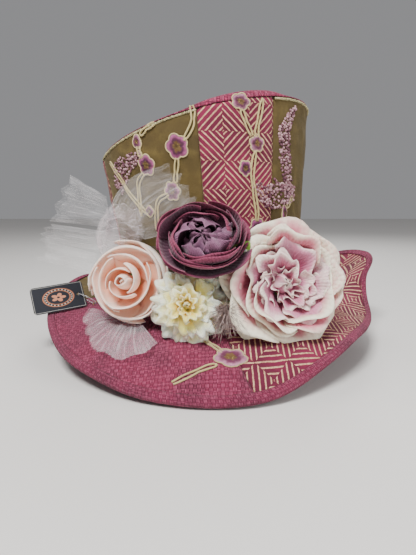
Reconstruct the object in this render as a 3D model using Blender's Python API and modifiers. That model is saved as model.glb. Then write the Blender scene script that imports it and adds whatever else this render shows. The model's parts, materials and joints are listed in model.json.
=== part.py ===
"""A costume top hat: a flared, slanted crown in cloth panels on a swept brim, with cloth flowers and a swing tag.

The hat's axis is Z and its front is -Y. z = 0 is the head opening, at the bottom edge of the sweatband.
An azimuth runs round that axis: 0 at the front, 90 degrees at +X, 180 at the back.
"""

from math import cos, degrees, pi, radians, sin

import bmesh
import bpy
import numpy as np
from mathutils import Matrix, Vector

# Driving dimensions, in metres and degrees.
CROWN_HALF_WIDTH = 0.090
CROWN_HALF_DEPTH = 0.103
CROWN_FLARE_WIDTH = 0.115
CROWN_FLARE_DEPTH = 0.070
CROWN_LEAN = -0.080
RIM_MEAN = 0.1687
RIM_SLANT = 0.0313
RIM_HIGH_SIDE = 60
TIP_ROLL = 0.007
TIP_DOME = 0.005

BRIM_HALF_WIDTH = 0.181
BRIM_HALF_DEPTH = 0.193
BRIM_TOP = 0.0048
# (azimuth, height of the brim's edge) and (azimuth, how far the edge reaches, as a share).
BRIM_EDGE = [
    (-120, 0.012), (-95, 0.004), (-68, -0.014), (-54, -0.026), (-40, -0.032), (-22, -0.041), (8, -0.041),
    (28, -0.022), (44, -0.011), (60, -0.012), (73, -0.012), (83, 0.001), (90, 0.022), (97, 0.043),
    (106, 0.047), (115, 0.042), (126, 0.026), (140, 0.002), (157, -0.030), (170, -0.040), (195, -0.040), (215, -0.020),
]
BRIM_REACH = [
    (-90, 1.0), (0, 1.0), (14, 0.985), (30, 0.955), (48, 0.935), (62, 0.935), (75, 0.955), (84, 0.965),
    (90, 1.0), (97, 1.10), (106, 1.135), (115, 1.10), (126, 1.03), (145, 1.0), (200, 1.0),
]
BRIM_TWIST = 9

# Layers as (depth of the outer face below the outside of the hat, thickness).
FABRIC = (0.0, 0.0012)
STIFFENER = (0.0016, 0.0015)
INNER_CLOTH = (0.0035, 0.0008)
SWEATBAND = (0.0047, 0.0013)
SWEATBAND_HEIGHT = 0.030
PAD_REACH = 0.0024
PAD = (-PAD_REACH, 0.0020)
CALYX_HEIGHT = 0.006
STEM_RADIUS = 0.0014
STEP_GAP = 0.0004
WIRE_RADIUS = 0.0005
WIRE_ROOM = 0.0024
BINDING_LIP = 0.0040
BINDING_ARM = 0.008
BINDING_WALL = 0.0010
BINDING_GAP = 0.0010

CROWN_PANELS = [
    ("crown_panel_front_left_velvet", -69, -1, 7, "olive_velvet"),
    ("crown_panel_front_jacquard", -1, 36, 4, "jacquard"),
    ("crown_panel_right_velvet", 36, 84, 6, "olive_velvet"),
    ("crown_panel_right_tweed", 84, 132, 5, "tweed"),
    ("crown_panel_back_velvet", 132, 184, 6, "olive_velvet"),
    ("crown_panel_back_jacquard", 184, 240, 6, "jacquard"),
    ("crown_panel_left_jacquard", 240, 291, 6, "jacquard"),
]
BRIM_PANELS = [
    ("brim_top_front_tweed", -85, 6, 11, "tweed"),
    ("brim_top_right_jacquard", 6, 124, 26, "jacquard"),
    ("brim_top_back_tweed", 124, 195, 9, "tweed"),
    ("brim_top_left_velvet", 195, 275, 9, "olive_velvet"),
]

# Flowers as (name, face centre, the way the face looks, radius, depth, height as a share of width, whorls).
FLOWERS = [
    ("garden_rose", (0.063, -0.139, 0.042), (0.24, -0.94, 0.24), 0.046, 0.040, 1.0, 4),
    ("peony", (-0.012, -0.1440, 0.083), (-0.05, -0.86, 0.50), 0.036, 0.026, 0.86, 3),
    ("foam_rose", (-0.082, -0.126, 0.040), (-0.22, -0.95, 0.20), 0.030, 0.030, 1.0, 3),
    ("carnation", (-0.024, -0.142, 0.023), (-0.05, -0.96, 0.25), 0.027, 0.024, 1.0, 2),
]
FLOWER_COLOURS = {
    "garden_rose": (0.72, 0.40, 0.42), "peony": (0.07, 0.02, 0.05),
    "foam_rose": (0.87, 0.50, 0.38), "carnation": (0.88, 0.80, 0.58),
}

# The swing tag hangs by a plastic loop from a thread stitch on the left of the brim.
TAG_WIDTH = 0.0525
TAG_HEIGHT = 0.0305
TAG_THICKNESS = 0.0008
TAG_CORNER = 0.0035
TAG_HOLE_INSET = 0.006
TAG_HOLE_RADIUS = 0.0019
TAG_HOLE = (-0.1440, -0.0403, 0.0107)
TAG_ALONG = (0.8895, 0.419, 0.0914)
TAG_UP = (-0.3115, 0.531, 0.7836)
STITCH_AZIMUTH = -72.5
STITCH_SHARE = 0.44
STITCH_RADIUS = 0.0036
STITCH_THREAD = 0.0004
EYE_HEIGHT = 0.0018
LOOP_WIRE = 0.0005
LOOP_HALF_WIDTH = 0.0040

COLOURS = {
    "tweed": ((0.32, 0.05, 0.12), 0.85), "jacquard": ((0.40, 0.11, 0.17), 0.75),
    "olive_velvet": ((0.24, 0.17, 0.06), 0.7), "buckram": ((0.75, 0.72, 0.65), 0.9),
    "satin": ((0.30, 0.12, 0.18), 0.4), "grosgrain": ((0.08, 0.02, 0.04), 0.7),
    "felt": ((0.10, 0.08, 0.05), 0.95), "wire": ((0.5, 0.5, 0.5), 0.35), "tulle": ((0.75, 0.66, 0.66), 0.8),
    "cord": ((0.80, 0.70, 0.45), 0.8), "blossom": ((0.45, 0.18, 0.30), 0.7), "leaf": ((0.24, 0.38, 0.08), 0.6),
    "feather": ((0.40, 0.30, 0.30), 0.9), "card": ((0.01, 0.015, 0.04), 0.5), "clear_plastic": ((0.9, 0.9, 0.9), 0.3),
}


# Scene and materials.


def clear_scene():
    for old in list(bpy.data.objects):
        bpy.data.objects.remove(old)


def material(name, colour, roughness, metallic=0.0):
    made = bpy.data.materials.get(name)
    if made is None:
        made = bpy.data.materials.new(name)
        made.use_nodes = True
        shader = made.node_tree.nodes["Principled BSDF"]
        shader.inputs["Base Color"].default_value = (*colour, 1.0)
        shader.inputs["Roughness"].default_value = roughness
        shader.inputs["Metallic"].default_value = metallic
    return made


def add_object(name, data, finish):
    made = bpy.data.objects.new(name, data)
    collection.objects.link(made)
    colour, roughness = COLOURS.get(finish, (FLOWER_COLOURS.get(finish), 0.8))
    data.materials.append(material(finish, colour, roughness, 1.0 if finish == "wire" else 0.0))
    return made


# Surfaces of the hat, as functions of an azimuth in degrees and a share from 0 to 1.


def around(knots, azimuth):
    """A smooth closed curve through (azimuth, value) knots: cubic pieces with the mean slope at each knot."""
    places = [knot[0] for knot in knots]
    values = [knot[1] for knot in knots]
    count = len(knots)
    azimuth = (azimuth - places[0]) % 360 + places[0]
    index = max(i for i in range(count) if places[i] <= azimuth)

    def knot(i):
        return places[i % count] + 360 * (i // count), values[i % count]

    (xa, ya), (xb, yb), (xc, yc), (xd, yd) = (knot(index + step) for step in (-1, 0, 1, 2))
    span = xc - xb
    slope_b = (yc - ya) / (xc - xa) * span
    slope_c = (yd - yb) / (xd - xb) * span
    t = (azimuth - xb) / span
    bend = (2 * t**3 - 3 * t**2 + 1) * yb + (3 * t**2 - 2 * t**3) * yc
    return bend + (t**3 - 2 * t**2 + t) * slope_b + (t**3 - t**2) * slope_c


def rim_height(azimuth):
    return RIM_MEAN + RIM_SLANT * cos(radians(azimuth - RIM_HIGH_SIDE))


def crown_at(azimuth, height):
    a = radians(azimuth)
    half_width = CROWN_HALF_WIDTH + CROWN_FLARE_WIDTH * height
    half_depth = CROWN_HALF_DEPTH + CROWN_FLARE_DEPTH * height
    return Vector((CROWN_LEAN * height + half_width * sin(a), -half_depth * cos(a), height))


def crown(azimuth, share):
    base = BRIM_TOP + STEP_GAP
    return crown_at(azimuth, base + share * (rim_height(azimuth) - base))


def tip(azimuth, share):
    """The crown's closed top: a low dome that rolls down over the rim. Share 0 is its middle, 1 its border."""
    rim = crown_at(azimuth, rim_height(azimuth) + STEP_GAP)
    middle = Vector((CROWN_LEAN * RIM_MEAN, 0, RIM_MEAN))
    flat = 0.9
    radius = (rim - middle).length
    if share <= flat:
        reach = share / flat * (1 - TIP_ROLL / radius)
        rise = TIP_ROLL + TIP_DOME * (1 - (share / flat) ** 2)
    else:
        turn = (share - flat) / (1 - flat) * pi / 2
        reach = 1 - TIP_ROLL / radius * (1 - sin(turn))
        rise = TIP_ROLL * cos(turn)
    return middle + (rim - middle) * reach + Vector((0, 0, rise))


def brim(azimuth, share):
    """The brim's upper face. Share 0 is the crown's base and 1 the outside of the binding."""
    edge = around(BRIM_EDGE, azimuth)
    reach = around(BRIM_REACH, azimuth)
    a = radians(azimuth + BRIM_TWIST * (share - 0.5))
    half_width = CROWN_HALF_WIDTH + (BRIM_HALF_WIDTH * reach - CROWN_HALF_WIDTH) * share
    half_depth = CROWN_HALF_DEPTH + (BRIM_HALF_DEPTH * reach - CROWN_HALF_DEPTH) * share
    curl = min(max((edge + 0.010) / 0.020, 0), 1)
    power = 1.3 + 0.9 * curl
    height = BRIM_TOP * (1 - share) + edge * max(share, 0) ** power
    return Vector((half_width * sin(a), -half_depth * cos(a), height))


def normal_of(surface, azimuth, share):
    """Unit normal that points away from the inside of the hat."""
    if surface is tip and share == 0:
        return Vector((0, 0, 1))
    step = 0.01
    inner = max(share, 0.02)
    along = surface(azimuth, inner + step) - surface(azimuth, inner - step)
    across = surface(azimuth + 1, inner) - surface(azimuth - 1, inner)
    return across.cross(along).normalized() * (1 if surface in (crown, sweat_wall) else -1)


def below(surface, azimuth, share, depth):
    return surface(azimuth, share) - normal_of(surface, azimuth, share) * depth


# Makers.


def sheet(name, places, thickness, finish):
    """A grid of points as an open surface that Solidify thickens on the side away from its normals."""
    columns = len(places) - 1
    rows = len(places[0]) - 1
    mesh = bmesh.new()
    bmesh.ops.create_grid(mesh, x_segments=columns, y_segments=rows, size=1)
    for vertex in mesh.verts:
        column = round((vertex.co.x + 1) / 2 * columns)
        row = round((vertex.co.y + 1) / 2 * rows)
        vertex.co = places[column][row]
    data = bpy.data.meshes.new(name)
    mesh.to_mesh(data)
    mesh.free()
    made = add_object(name, data, finish)
    solidify = made.modifiers.new("thickness", "SOLIDIFY")
    solidify.thickness = thickness
    solidify.offset = -1
    data.shade_smooth()
    data.set_sharp_from_angle(angle=radians(40))
    return made


def layer(name, surface, azimuths, shares, depth_and_thickness, finish, closed=True):
    """A shell between two depths below a surface. The grid is extruded while flat, then both faces are placed."""
    depth, thickness = depth_and_thickness
    columns = len(azimuths) - 1
    rows = len(shares) - 1
    mesh = bmesh.new()
    bmesh.ops.create_grid(mesh, x_segments=columns, y_segments=rows, size=1)
    raised = bmesh.ops.extrude_face_region(mesh, geom=mesh.faces[:], use_keep_orig=True)
    upper = {item for item in raised["geom"] if isinstance(item, bmesh.types.BMVert)}
    cell = {}
    for vertex in mesh.verts:
        cell[vertex] = (round((vertex.co.x + 1) / 2 * columns), round((vertex.co.y + 1) / 2 * rows))
    if closed:
        ends = [face for face in mesh.faces if {cell[v][0] for v in face.verts} in ({0}, {columns})]
        bmesh.ops.delete(mesh, geom=ends, context="FACES_ONLY")
    if surface is tip:
        middle = [face for face in mesh.faces if {cell[v][1] for v in face.verts} == {0}]
        bmesh.ops.delete(mesh, geom=middle, context="FACES_ONLY")
    for vertex in mesh.verts:
        column, row = cell[vertex]
        drop = depth if vertex in upper else depth + thickness
        vertex.co = below(surface, azimuths[column], shares[row], drop)
    bmesh.ops.remove_doubles(mesh, verts=mesh.verts, dist=1e-6)
    bmesh.ops.recalc_face_normals(mesh, faces=mesh.faces)
    data = bpy.data.meshes.new(name)
    mesh.to_mesh(data)
    mesh.free()
    data.shade_smooth()
    data.set_sharp_from_angle(angle=radians(40))
    return add_object(name, data, finish)


def azimuths_of(panels):
    """Every panel's columns, one after another, so that all the layers share their facets."""
    found = []
    for _, start, end, count, _ in panels:
        found += [start + (end - start) * i / count for i in range(count)]
    return found + [panels[0][1] + 360]


def tube(name, points, radius, finish, cyclic=False, sides=1):
    data = bpy.data.curves.new(name, "CURVE")
    data.dimensions = "3D"
    data.bevel_depth = radius
    data.bevel_resolution = sides
    data.use_fill_caps = True
    line = data.splines.new("POLY")
    line.points.add(len(points) - 1)
    for place, point in zip(line.points, points):
        place.co = (*point, 1)
    line.use_cyclic_u = cyclic
    return add_object(name, data, finish)


def turned(name, profile, place, facing, squash, finish, steps=12):
    """A profile of (radius, height) points, turned round the local Z axis and set to face a direction."""
    mesh = bmesh.new()
    corners = [mesh.verts.new((radius, 0, height)) for radius, height in profile]
    for first, second in zip(corners, corners[1:]):
        mesh.edges.new((first, second))
    if profile[0][0] > 0:
        mesh.edges.new((corners[-1], corners[0]))
    data = bpy.data.meshes.new(name)
    mesh.to_mesh(data)
    mesh.free()
    made = add_object(name, data, finish)
    made.location = place
    made.rotation_euler = Vector(facing).to_track_quat("Z", "Y").to_euler()
    made.scale = (1, squash, 1)
    screw = made.modifiers.new("turn", "SCREW")
    screw.steps = screw.render_steps = steps
    screw.use_merge_vertices = True
    screw.merge_threshold = 1e-5
    return made


# Sub-parts.


def build_crown():
    columns = azimuths_of(CROWN_PANELS)
    walls = [0, 0.5, 1]
    seam = STEP_GAP / CROWN_HALF_DEPTH / 2
    for name, start, end, count, finish in CROWN_PANELS:
        edges = [start + (end - start) * i / count for i in range(count + 1)]
        edges[0] += degrees(seam)
        edges[-1] -= degrees(seam)
        layer(name, crown, edges, walls, FABRIC, finish, closed=False)

    height = rim_height(0)
    room = WIRE_ROOM / height
    layer("crown_stiffener", crown, columns, [room, 0.5, 1 - room], STIFFENER, "buckram")
    layer("crown_lining", crown, columns, walls, INNER_CLOTH, "satin")
    layer("sweatband", sweat_wall, columns, [0, 1], SWEATBAND, "grosgrain")

    wire_depth = STIFFENER[0] + STIFFENER[1] / 2
    for name, share in (("head_size_wire", room / 2), ("crown_top_wire", 1 - room / 2)):
        ring = [below(crown, azimuth, share, wire_depth) for azimuth in columns[:-1]]
        tube(name, ring, WIRE_RADIUS, "wire", cyclic=True)


def sweat_wall(azimuth, share):
    """The wall that the sweatband lines. It carries on upright from the crown's foot to the head opening."""
    foot = crown_at(azimuth, 0)
    return foot + Vector((0, 0, share * SWEATBAND_HEIGHT))


def build_tip():
    columns = azimuths_of(CROWN_PANELS)
    layer("tip_cover", tip, columns, [0, 0.5, 0.9, 0.95, 1], FABRIC, "tweed")
    layer("tip_stiffener", tip, columns, [0, 0.5, 0.9, 0.95, 0.99], STIFFENER, "buckram")
    layer("tip_lining", tip, columns, [0, 0.5, 0.9, 0.96], INNER_CLOTH, "satin")


def build_brim():
    columns = azimuths_of(BRIM_PANELS)
    inner = -0.036
    outer = 1 - BINDING_LIP / (BRIM_HALF_WIDTH - CROWN_HALF_WIDTH)
    arm = outer - BINDING_ARM / (BRIM_HALF_WIDTH - CROWN_HALF_WIDTH)
    rings = [inner, 0.32, 0.62, arm, outer]
    seam = STEP_GAP / CROWN_HALF_DEPTH / 2
    for name, start, end, count, finish in BRIM_PANELS:
        edges = [start + (end - start) * i / count for i in range(count + 1)]
        edges[0] += degrees(seam)
        edges[-1] -= degrees(seam)
        layer(name, brim, edges, rings, FABRIC, finish, closed=False)
    layer("brim_stiffener", brim, columns, rings, STIFFENER, "buckram")
    layer("brim_underside", brim, columns, rings, INNER_CLOTH, "tweed")

    middle = (INNER_CLOTH[0] + INNER_CLOTH[1]) / 2
    wire = [edge_point(azimuth, outer, 0.0014, -middle) for azimuth in columns[:-1]]
    tube("brim_edge_wire", wire, WIRE_RADIUS, "wire", cyclic=True)
    build_binding(columns, outer)


def edge_point(azimuth, outer, reach, lift):
    """A point by the brim's edge: reach runs outwards from the cut edge, lift runs up from the upper face."""
    span = BRIM_HALF_WIDTH - CROWN_HALF_WIDTH
    if reach <= 0:
        return below(brim, azimuth, outer + reach / span, -lift)
    outwards = (brim(azimuth, outer) - brim(azimuth, outer - 0.02)).normalized()
    return below(brim, azimuth, outer, -lift) + outwards * reach


def build_binding(columns, outer):
    """A folded band round the brim's edge, with a U section that holds the cut layers and the edge wire."""
    floor = INNER_CLOTH[0] + INNER_CLOTH[1] + BINDING_GAP
    wall = BINDING_WALL
    lip = BINDING_LIP
    inside = lip - wall
    section = [
        (-BINDING_ARM, BINDING_GAP + wall), (lip - 0.0021, BINDING_GAP + wall), (lip, -0.0006),
        (lip, 0.0006 - floor), (lip - 0.0021, -floor - wall), (-BINDING_ARM, -floor - wall),
        (-BINDING_ARM, -floor), (inside - 0.0014, -floor), (inside, 0.0012 - floor),
        (inside, -0.0012), (inside - 0.0014, BINDING_GAP), (-BINDING_ARM, BINDING_GAP),
    ]
    mesh = bmesh.new()
    loops = []
    for azimuth in columns[:-1]:
        points = [edge_point(azimuth, outer, reach, lift) for reach, lift in section]
        loops.append([mesh.verts.new(point) for point in points])
    count = len(section)
    for here, there in zip(loops, loops[1:] + loops[:1]):
        for i in range(count):
            j = (i + 1) % count
            mesh.faces.new((here[i], there[i], there[j], here[j]))
    bmesh.ops.recalc_face_normals(mesh, faces=mesh.faces)
    data = bpy.data.meshes.new("brim_binding")
    mesh.to_mesh(data)
    mesh.free()
    data.shade_smooth()
    add_object("brim_binding", data, "tweed")


def whorl(radius, depth, front, back, front_height, back_height):
    """The section of one ring of petals: a bowl wall that is open at its foot. Sizes are shares of the flower."""
    wall = 0.09 * radius
    top = (front * radius, front_height * depth)
    foot = (back * radius, back_height * depth)
    middle = (0.62 * top[0] + 0.38 * foot[0], (top[1] + foot[1]) / 2)
    outside = [top, middle, foot]
    return outside + [(r - wall, h + 0.04 * depth) for r, h in reversed(outside)]


def build_flowers():
    """Each flower is nested whorls of petals round a heart, on a calyx and a short stem."""
    whorls = [
        ("outer_petals", 1.0, 0.36, -0.10, -1.0), ("middle_petals", 0.74, 0.24, 0.0, -0.96),
        ("inner_petals", 0.52, 0.14, 0.02, -0.92),
    ]
    for name, face, facing, radius, depth, squash, count in FLOWERS:
        facing = Vector(facing).normalized()
        place = Vector(face)
        for part, front, back, front_height, back_height in whorls[: count - 1]:
            section = whorl(radius, depth, front, back, front_height, back_height)
            turned(f"{name}_{part}", section, place, facing, squash, name)
        girth = {4: 0.24, 3: 0.42, 2: 0.60}[count] * radius
        foot = {4: 0.02, 3: 0.07, 2: 0.18}[count] * radius
        heart = [
            (0, 0.08 * depth), (0.7 * girth, 0.0), (girth, -0.22 * depth),
            (max(0.5 * girth, foot), -0.6 * depth), (foot, -0.82 * depth), (0, -0.82 * depth),
        ]
        turned(f"{name}_heart", heart, place, facing, squash, name)
        back = -depth - STEP_GAP - 0.0006
        stalk = back - CALYX_HEIGHT
        end = stalk - stem_length(place + facing * stalk, facing)
        stem = [(0, back), (0.34 * radius, back), (0.14 * radius, stalk), (STEM_RADIUS, stalk - 0.001),
                (STEM_RADIUS, end), (0, end)]
        turned(f"{name}_calyx_and_stem", stem, place, facing, 1.0, "leaf", steps=10)


def stem_length(start, facing):
    """How far a straight stem runs back from its calyx before it meets the felt pad on the crown."""
    clear = PAD_REACH + 0.002
    length = 0.0
    while length < 0.05:
        point = start - facing * (length + 0.0005)
        half_width = CROWN_HALF_WIDTH + CROWN_FLARE_WIDTH * point.z + clear
        half_depth = CROWN_HALF_DEPTH + CROWN_FLARE_DEPTH * point.z + clear
        if ((point.x - CROWN_LEAN * point.z) / half_width) ** 2 + (point.y / half_depth) ** 2 < 1:
            break
        length += 0.0005
    return max(length, 0.002)


def build_pad():
    columns = [-58 + 9 * i for i in range(13)]
    layer("flower_pad", crown, columns, [0.09, 0.38], PAD, "felt", closed=False)


def drape(name, corners, bulge, finish, thickness=0.0016, columns=5, rows=4):
    """A loose piece of cloth between four corners, bowed towards the front."""
    a, b, c, d = (Vector(corner) for corner in corners)
    out = (b - a).cross(d - a).normalized()
    out *= -1 if out.y > 0 else 1
    places = []
    for i in range(columns + 1):
        u = i / columns
        line = []
        for j in range(rows + 1):
            v = j / rows
            point = a.lerp(b, v).lerp(d.lerp(c, v), u)
            line.append(point + out * bulge * sin(pi * u) * sin(pi * v))
        places.append(line)
    return sheet(name, places, thickness, finish)


def build_tulle():
    drape("tulle_upper_loop", [(-0.066, -0.117, 0.080), (-0.092, -0.100, 0.105),
                               (-0.043, -0.117, 0.134), (-0.020, -0.118, 0.118)], 0.004, "tulle")
    drape("tulle_tail_high", [(-0.099, -0.084, 0.086), (-0.101, -0.080, 0.112),
                              (-0.141, -0.058, 0.131), (-0.157, -0.058, 0.087)], 0.006, "tulle")
    drape("tulle_tail_middle", [(-0.104, -0.086, 0.062), (-0.097, -0.086, 0.080),
                                (-0.158, -0.062, 0.084), (-0.170, -0.062, 0.070)], 0.004, "tulle")
    drape("tulle_tail_low", [(-0.118, -0.084, 0.040), (-0.112, -0.084, 0.058),
                             (-0.163, -0.060, 0.064), (-0.172, -0.060, 0.048)], 0.003, "tulle")
    columns = [-57, -49, -41, -33, -25]
    layer("tulle_brim_fan", brim, columns, [0.36, 0.54, 0.72], (-0.0055, 0.0016), "tulle", closed=False)
    knot = [(0, 0.009), (0.008, 0.006), (0.010, 0), (0.008, -0.006), (0, -0.009)]
    turned("tulle_knot", knot, (-0.090, -0.082, 0.066), (0, -1, 0), 1.0, "tulle", steps=10)


def build_small_trim():
    leaf = [(0.020, -0.116, 0.062), (0.016, -0.121, 0.070), (0.026, -0.127, 0.077), (0.031, -0.121, 0.066)]
    drape("leaf", leaf, 0.001, "leaf", thickness=0.0008, columns=3, rows=3)
    tuft = [(0, 0.010), (0.008, 0.006), (0.011, 0), (0.008, -0.006), (0, -0.010)]
    turned("feather_tuft", tuft, (0.013, -0.136, 0.011), (0.2, -0.5, 1), 0.8, "feather", steps=10)


# Corded lace, as stems of (azimuth, height) on the crown, and of (azimuth, share) on the brim.
BRIM_STEM = [(-4, 0.34), (1, 0.48), (2, 0.60), (-4, 0.68), (-12, 0.77)]
LACE_STEMS = [
    ("lace_vine_left", [(-36, 0.098), (-35, 0.118), (-28, 0.136), (-31, 0.152), (-27, 0.166)]),
    ("lace_vine_middle", [(18, 0.185), (25, 0.160), (24, 0.140), (21, 0.132), (24, 0.112), (26, 0.094)]),
    ("lace_vine_centre_left", [(-27, 0.084), (-25, 0.108), (-16, 0.122), (-12, 0.150), (-3, 0.176)]),
    ("lace_vine_right", [(51, 0.190), (43, 0.178), (45, 0.150), (47, 0.128), (50, 0.112)]),
]
LACE_BLOSSOMS = [
    ("lace_blossom_left", -29, 0.137, 0.008), ("lace_blossom_centre_left", -12, 0.152, 0.010),
    ("lace_blossom_middle", 25, 0.156, 0.009), ("lace_blossom_low", 26, 0.084, 0.009),
]


def build_lace():
    radius = 0.0010
    lift = STEP_GAP + radius
    base = BRIM_TOP + STEP_GAP
    for name, stem in LACE_STEMS:
        shares = [(azimuth, (height - base) / (rim_height(azimuth) - base)) for azimuth, height in stem]
        tube(name, [below(crown, azimuth, share, -lift) for azimuth, share in shares], radius, "cord")
    tube("lace_vine_brim", [below(brim, azimuth, share, -lift) for azimuth, share in BRIM_STEM], radius, "cord")
    for name, azimuth, height, size in LACE_BLOSSOMS:
        share = (height - base) / (rim_height(azimuth) - base)
        disc = [(0, 0.0016), (size, 0.0010), (size, 0.0), (0, 0.0)]
        place = below(crown, azimuth, share, -2 * lift)
        turned(name, disc, place, normal_of(crown, azimuth, share), 1.0, "blossom", steps=10)


def rounded_outline(width, height, corner, steps=4):
    """A rectangle about its own middle, with each corner as a quarter of a circle."""
    points = []
    for quarter in range(4):
        side = (1 if quarter in (0, 3) else -1, 1 if quarter < 2 else -1)
        for step in range(steps + 1):
            turn = (quarter + step / steps) * pi / 2
            points.append((side[0] * (width / 2 - corner) + corner * cos(turn),
                           side[1] * (height / 2 - corner) + corner * sin(turn)))
    return points


def ring_points(centre, first, second, half_first, half_second, steps, start=0.0, stretch=2 * pi):
    turns = [start + stretch * i / steps for i in range(steps)]
    return [centre + first * half_first * cos(turn) + second * half_second * sin(turn) for turn in turns]


def build_tag():
    """A card that turns on a plastic loop, and the loop, which turns in its stitch. Both turn about the card's normal."""
    along = Vector(TAG_ALONG).normalized()
    facing = along.cross(Vector(TAG_UP)).normalized()
    upright = facing.cross(along)

    up = normal_of(brim, STITCH_AZIMUTH, STITCH_SHARE)
    foot = brim(STITCH_AZIMUTH, STITCH_SHARE) + up * (STEP_GAP + STITCH_THREAD)
    flat = up.cross(facing).normalized()
    rise = facing.cross(flat)
    rise *= 1 if rise.z > 0 else -1
    eye = foot + rise * EYE_HEIGHT
    hole = Vector(TAG_HOLE)
    hole -= facing * (hole - eye).dot(facing)

    data = bpy.data.curves.new("swing_tag", "CURVE")
    data.dimensions = "2D"
    data.fill_mode = "BOTH"
    data.extrude = TAG_THICKNESS / 2
    middle = TAG_HOLE_INSET - TAG_WIDTH / 2
    outline = [(x + middle, y) for x, y in rounded_outline(TAG_WIDTH, TAG_HEIGHT, TAG_CORNER)]
    rim = [(TAG_HOLE_RADIUS * cos(pi * i / 5), TAG_HOLE_RADIUS * sin(pi * i / 5)) for i in range(10)]
    for points in (outline, rim):
        line = data.splines.new("POLY")
        line.points.add(len(points) - 1)
        for place, point in zip(line.points, points):
            place.co = (*point, 0, 1)
        line.use_cyclic_u = True
    card = add_object("swing_tag", data, "card")
    card.matrix_world = Matrix.Translation(hole) @ Matrix((along, upright, facing)).transposed().to_4x4()

    reach = hole - eye
    loop = [point - eye for point in ring_points(
        (hole + eye) / 2, reach.normalized(), facing, reach.length / 2, LOOP_HALF_WIDTH, 20)]
    tube("tag_loop", loop, LOOP_WIRE, "clear_plastic", cyclic=True).location = eye
    arch = ring_points(foot, flat, rise, STITCH_RADIUS, STITCH_RADIUS, 6, 0.0, pi)
    arch.append(foot - flat * STITCH_RADIUS)
    tube("tag_stitch", arch, STITCH_THREAD, "cord")


clear_scene()
collection = bpy.data.collections.new("top_hat")
bpy.context.scene.collection.children.link(collection)
build_crown()
build_tip()
build_brim()
build_pad()
build_flowers()
build_tulle()
build_small_trim()
build_lace()
build_tag()
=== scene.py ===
"""The looks of the costume top hat: cloth panels, velvet, petals, net and corded lace over the CAD part.

Everything is in the part's frame: z = 0 is the head opening, the hat's front is -Y, and an azimuth
runs from 0 degrees at the front to 90 at +X. Lengths are in metres. A cloth's UV map is in metres too.
A share runs from 0 to 1 over a surface: up the crown's wall, or outwards over the tip and the brim.
"""

import json
from functools import partialmethod

import bpy
import numpy as np
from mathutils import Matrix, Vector


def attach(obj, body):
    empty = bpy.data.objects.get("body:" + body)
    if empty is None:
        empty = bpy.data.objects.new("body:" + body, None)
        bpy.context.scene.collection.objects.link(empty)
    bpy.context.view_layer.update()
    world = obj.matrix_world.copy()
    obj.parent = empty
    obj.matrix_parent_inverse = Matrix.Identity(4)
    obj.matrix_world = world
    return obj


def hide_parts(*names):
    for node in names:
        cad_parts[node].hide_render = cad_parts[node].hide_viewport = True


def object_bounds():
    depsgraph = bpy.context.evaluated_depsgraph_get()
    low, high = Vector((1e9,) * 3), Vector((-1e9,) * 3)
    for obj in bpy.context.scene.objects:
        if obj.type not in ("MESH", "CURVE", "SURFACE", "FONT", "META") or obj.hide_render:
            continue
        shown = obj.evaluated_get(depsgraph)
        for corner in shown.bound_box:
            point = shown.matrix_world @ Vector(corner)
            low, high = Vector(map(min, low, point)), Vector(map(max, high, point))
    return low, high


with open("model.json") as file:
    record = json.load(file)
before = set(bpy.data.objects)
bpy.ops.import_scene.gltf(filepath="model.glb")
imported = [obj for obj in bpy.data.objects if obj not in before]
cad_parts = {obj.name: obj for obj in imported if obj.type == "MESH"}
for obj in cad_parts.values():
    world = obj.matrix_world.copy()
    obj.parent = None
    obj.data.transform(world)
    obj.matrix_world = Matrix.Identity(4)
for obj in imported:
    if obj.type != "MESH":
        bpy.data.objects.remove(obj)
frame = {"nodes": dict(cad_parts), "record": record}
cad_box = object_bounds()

# The hat's shape, the same numbers as in the CAD part.
CROWN_HALF_WIDTH = 0.090
CROWN_HALF_DEPTH = 0.103
CROWN_FLARE_WIDTH = 0.115
CROWN_FLARE_DEPTH = 0.070
CROWN_LEAN = -0.080
RIM_MEAN = 0.1687
RIM_SLANT = 0.0313
RIM_HIGH_SIDE = 60
TIP_DOME = 0.005
BRIM_HALF_WIDTH = 0.181
BRIM_HALF_DEPTH = 0.193
BRIM_SPAN = BRIM_HALF_WIDTH - CROWN_HALF_WIDTH
BRIM_TOP = 0.0048
BRIM_EDGE = [
    (-120, 0.012), (-95, 0.004), (-68, -0.014), (-54, -0.026), (-40, -0.032), (-22, -0.041), (8, -0.041),
    (28, -0.022), (44, -0.011), (60, -0.012), (73, -0.012), (83, 0.001), (90, 0.022), (97, 0.043),
    (106, 0.047), (115, 0.042), (126, 0.026), (140, 0.002), (157, -0.030), (170, -0.040),
    (195, -0.040), (215, -0.020),
]
BRIM_REACH = [
    (-90, 1.0), (0, 1.0), (14, 0.985), (30, 0.955), (48, 0.935), (62, 0.935), (75, 0.955), (84, 0.965),
    (90, 1.0), (97, 1.10), (106, 1.135), (115, 1.10), (126, 1.03), (145, 1.0), (200, 1.0),
]
BRIM_TWIST = 9
STEP_GAP = 0.0004
WALL_FOOT = BRIM_TOP + STEP_GAP
WALL_HEIGHT = 0.17
SWEATBAND_HEIGHT = 0.030
SWEATBAND_DEPTH = 0.0047
BINDING_LIP = 0.0040
BINDING_SHOW = 0.0042
BRIM_INNER = -0.036
BRIM_OUTER = 1 - BINDING_LIP / BRIM_SPAN

# How far the tip's roll stands above the crown's wall, round the rim.
TIP_ROLL = [
    (-70, 0.0010), (-10, 0.0012), (3, 0.0055), (18, 0.0078), (34, 0.0066), (45, 0.0018), (70, 0.0014),
    (130, 0.0020), (220, 0.0020),
]
TIP_FLAT = 0.9
TIP_MIDDLE_RISE = 0.0045

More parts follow.
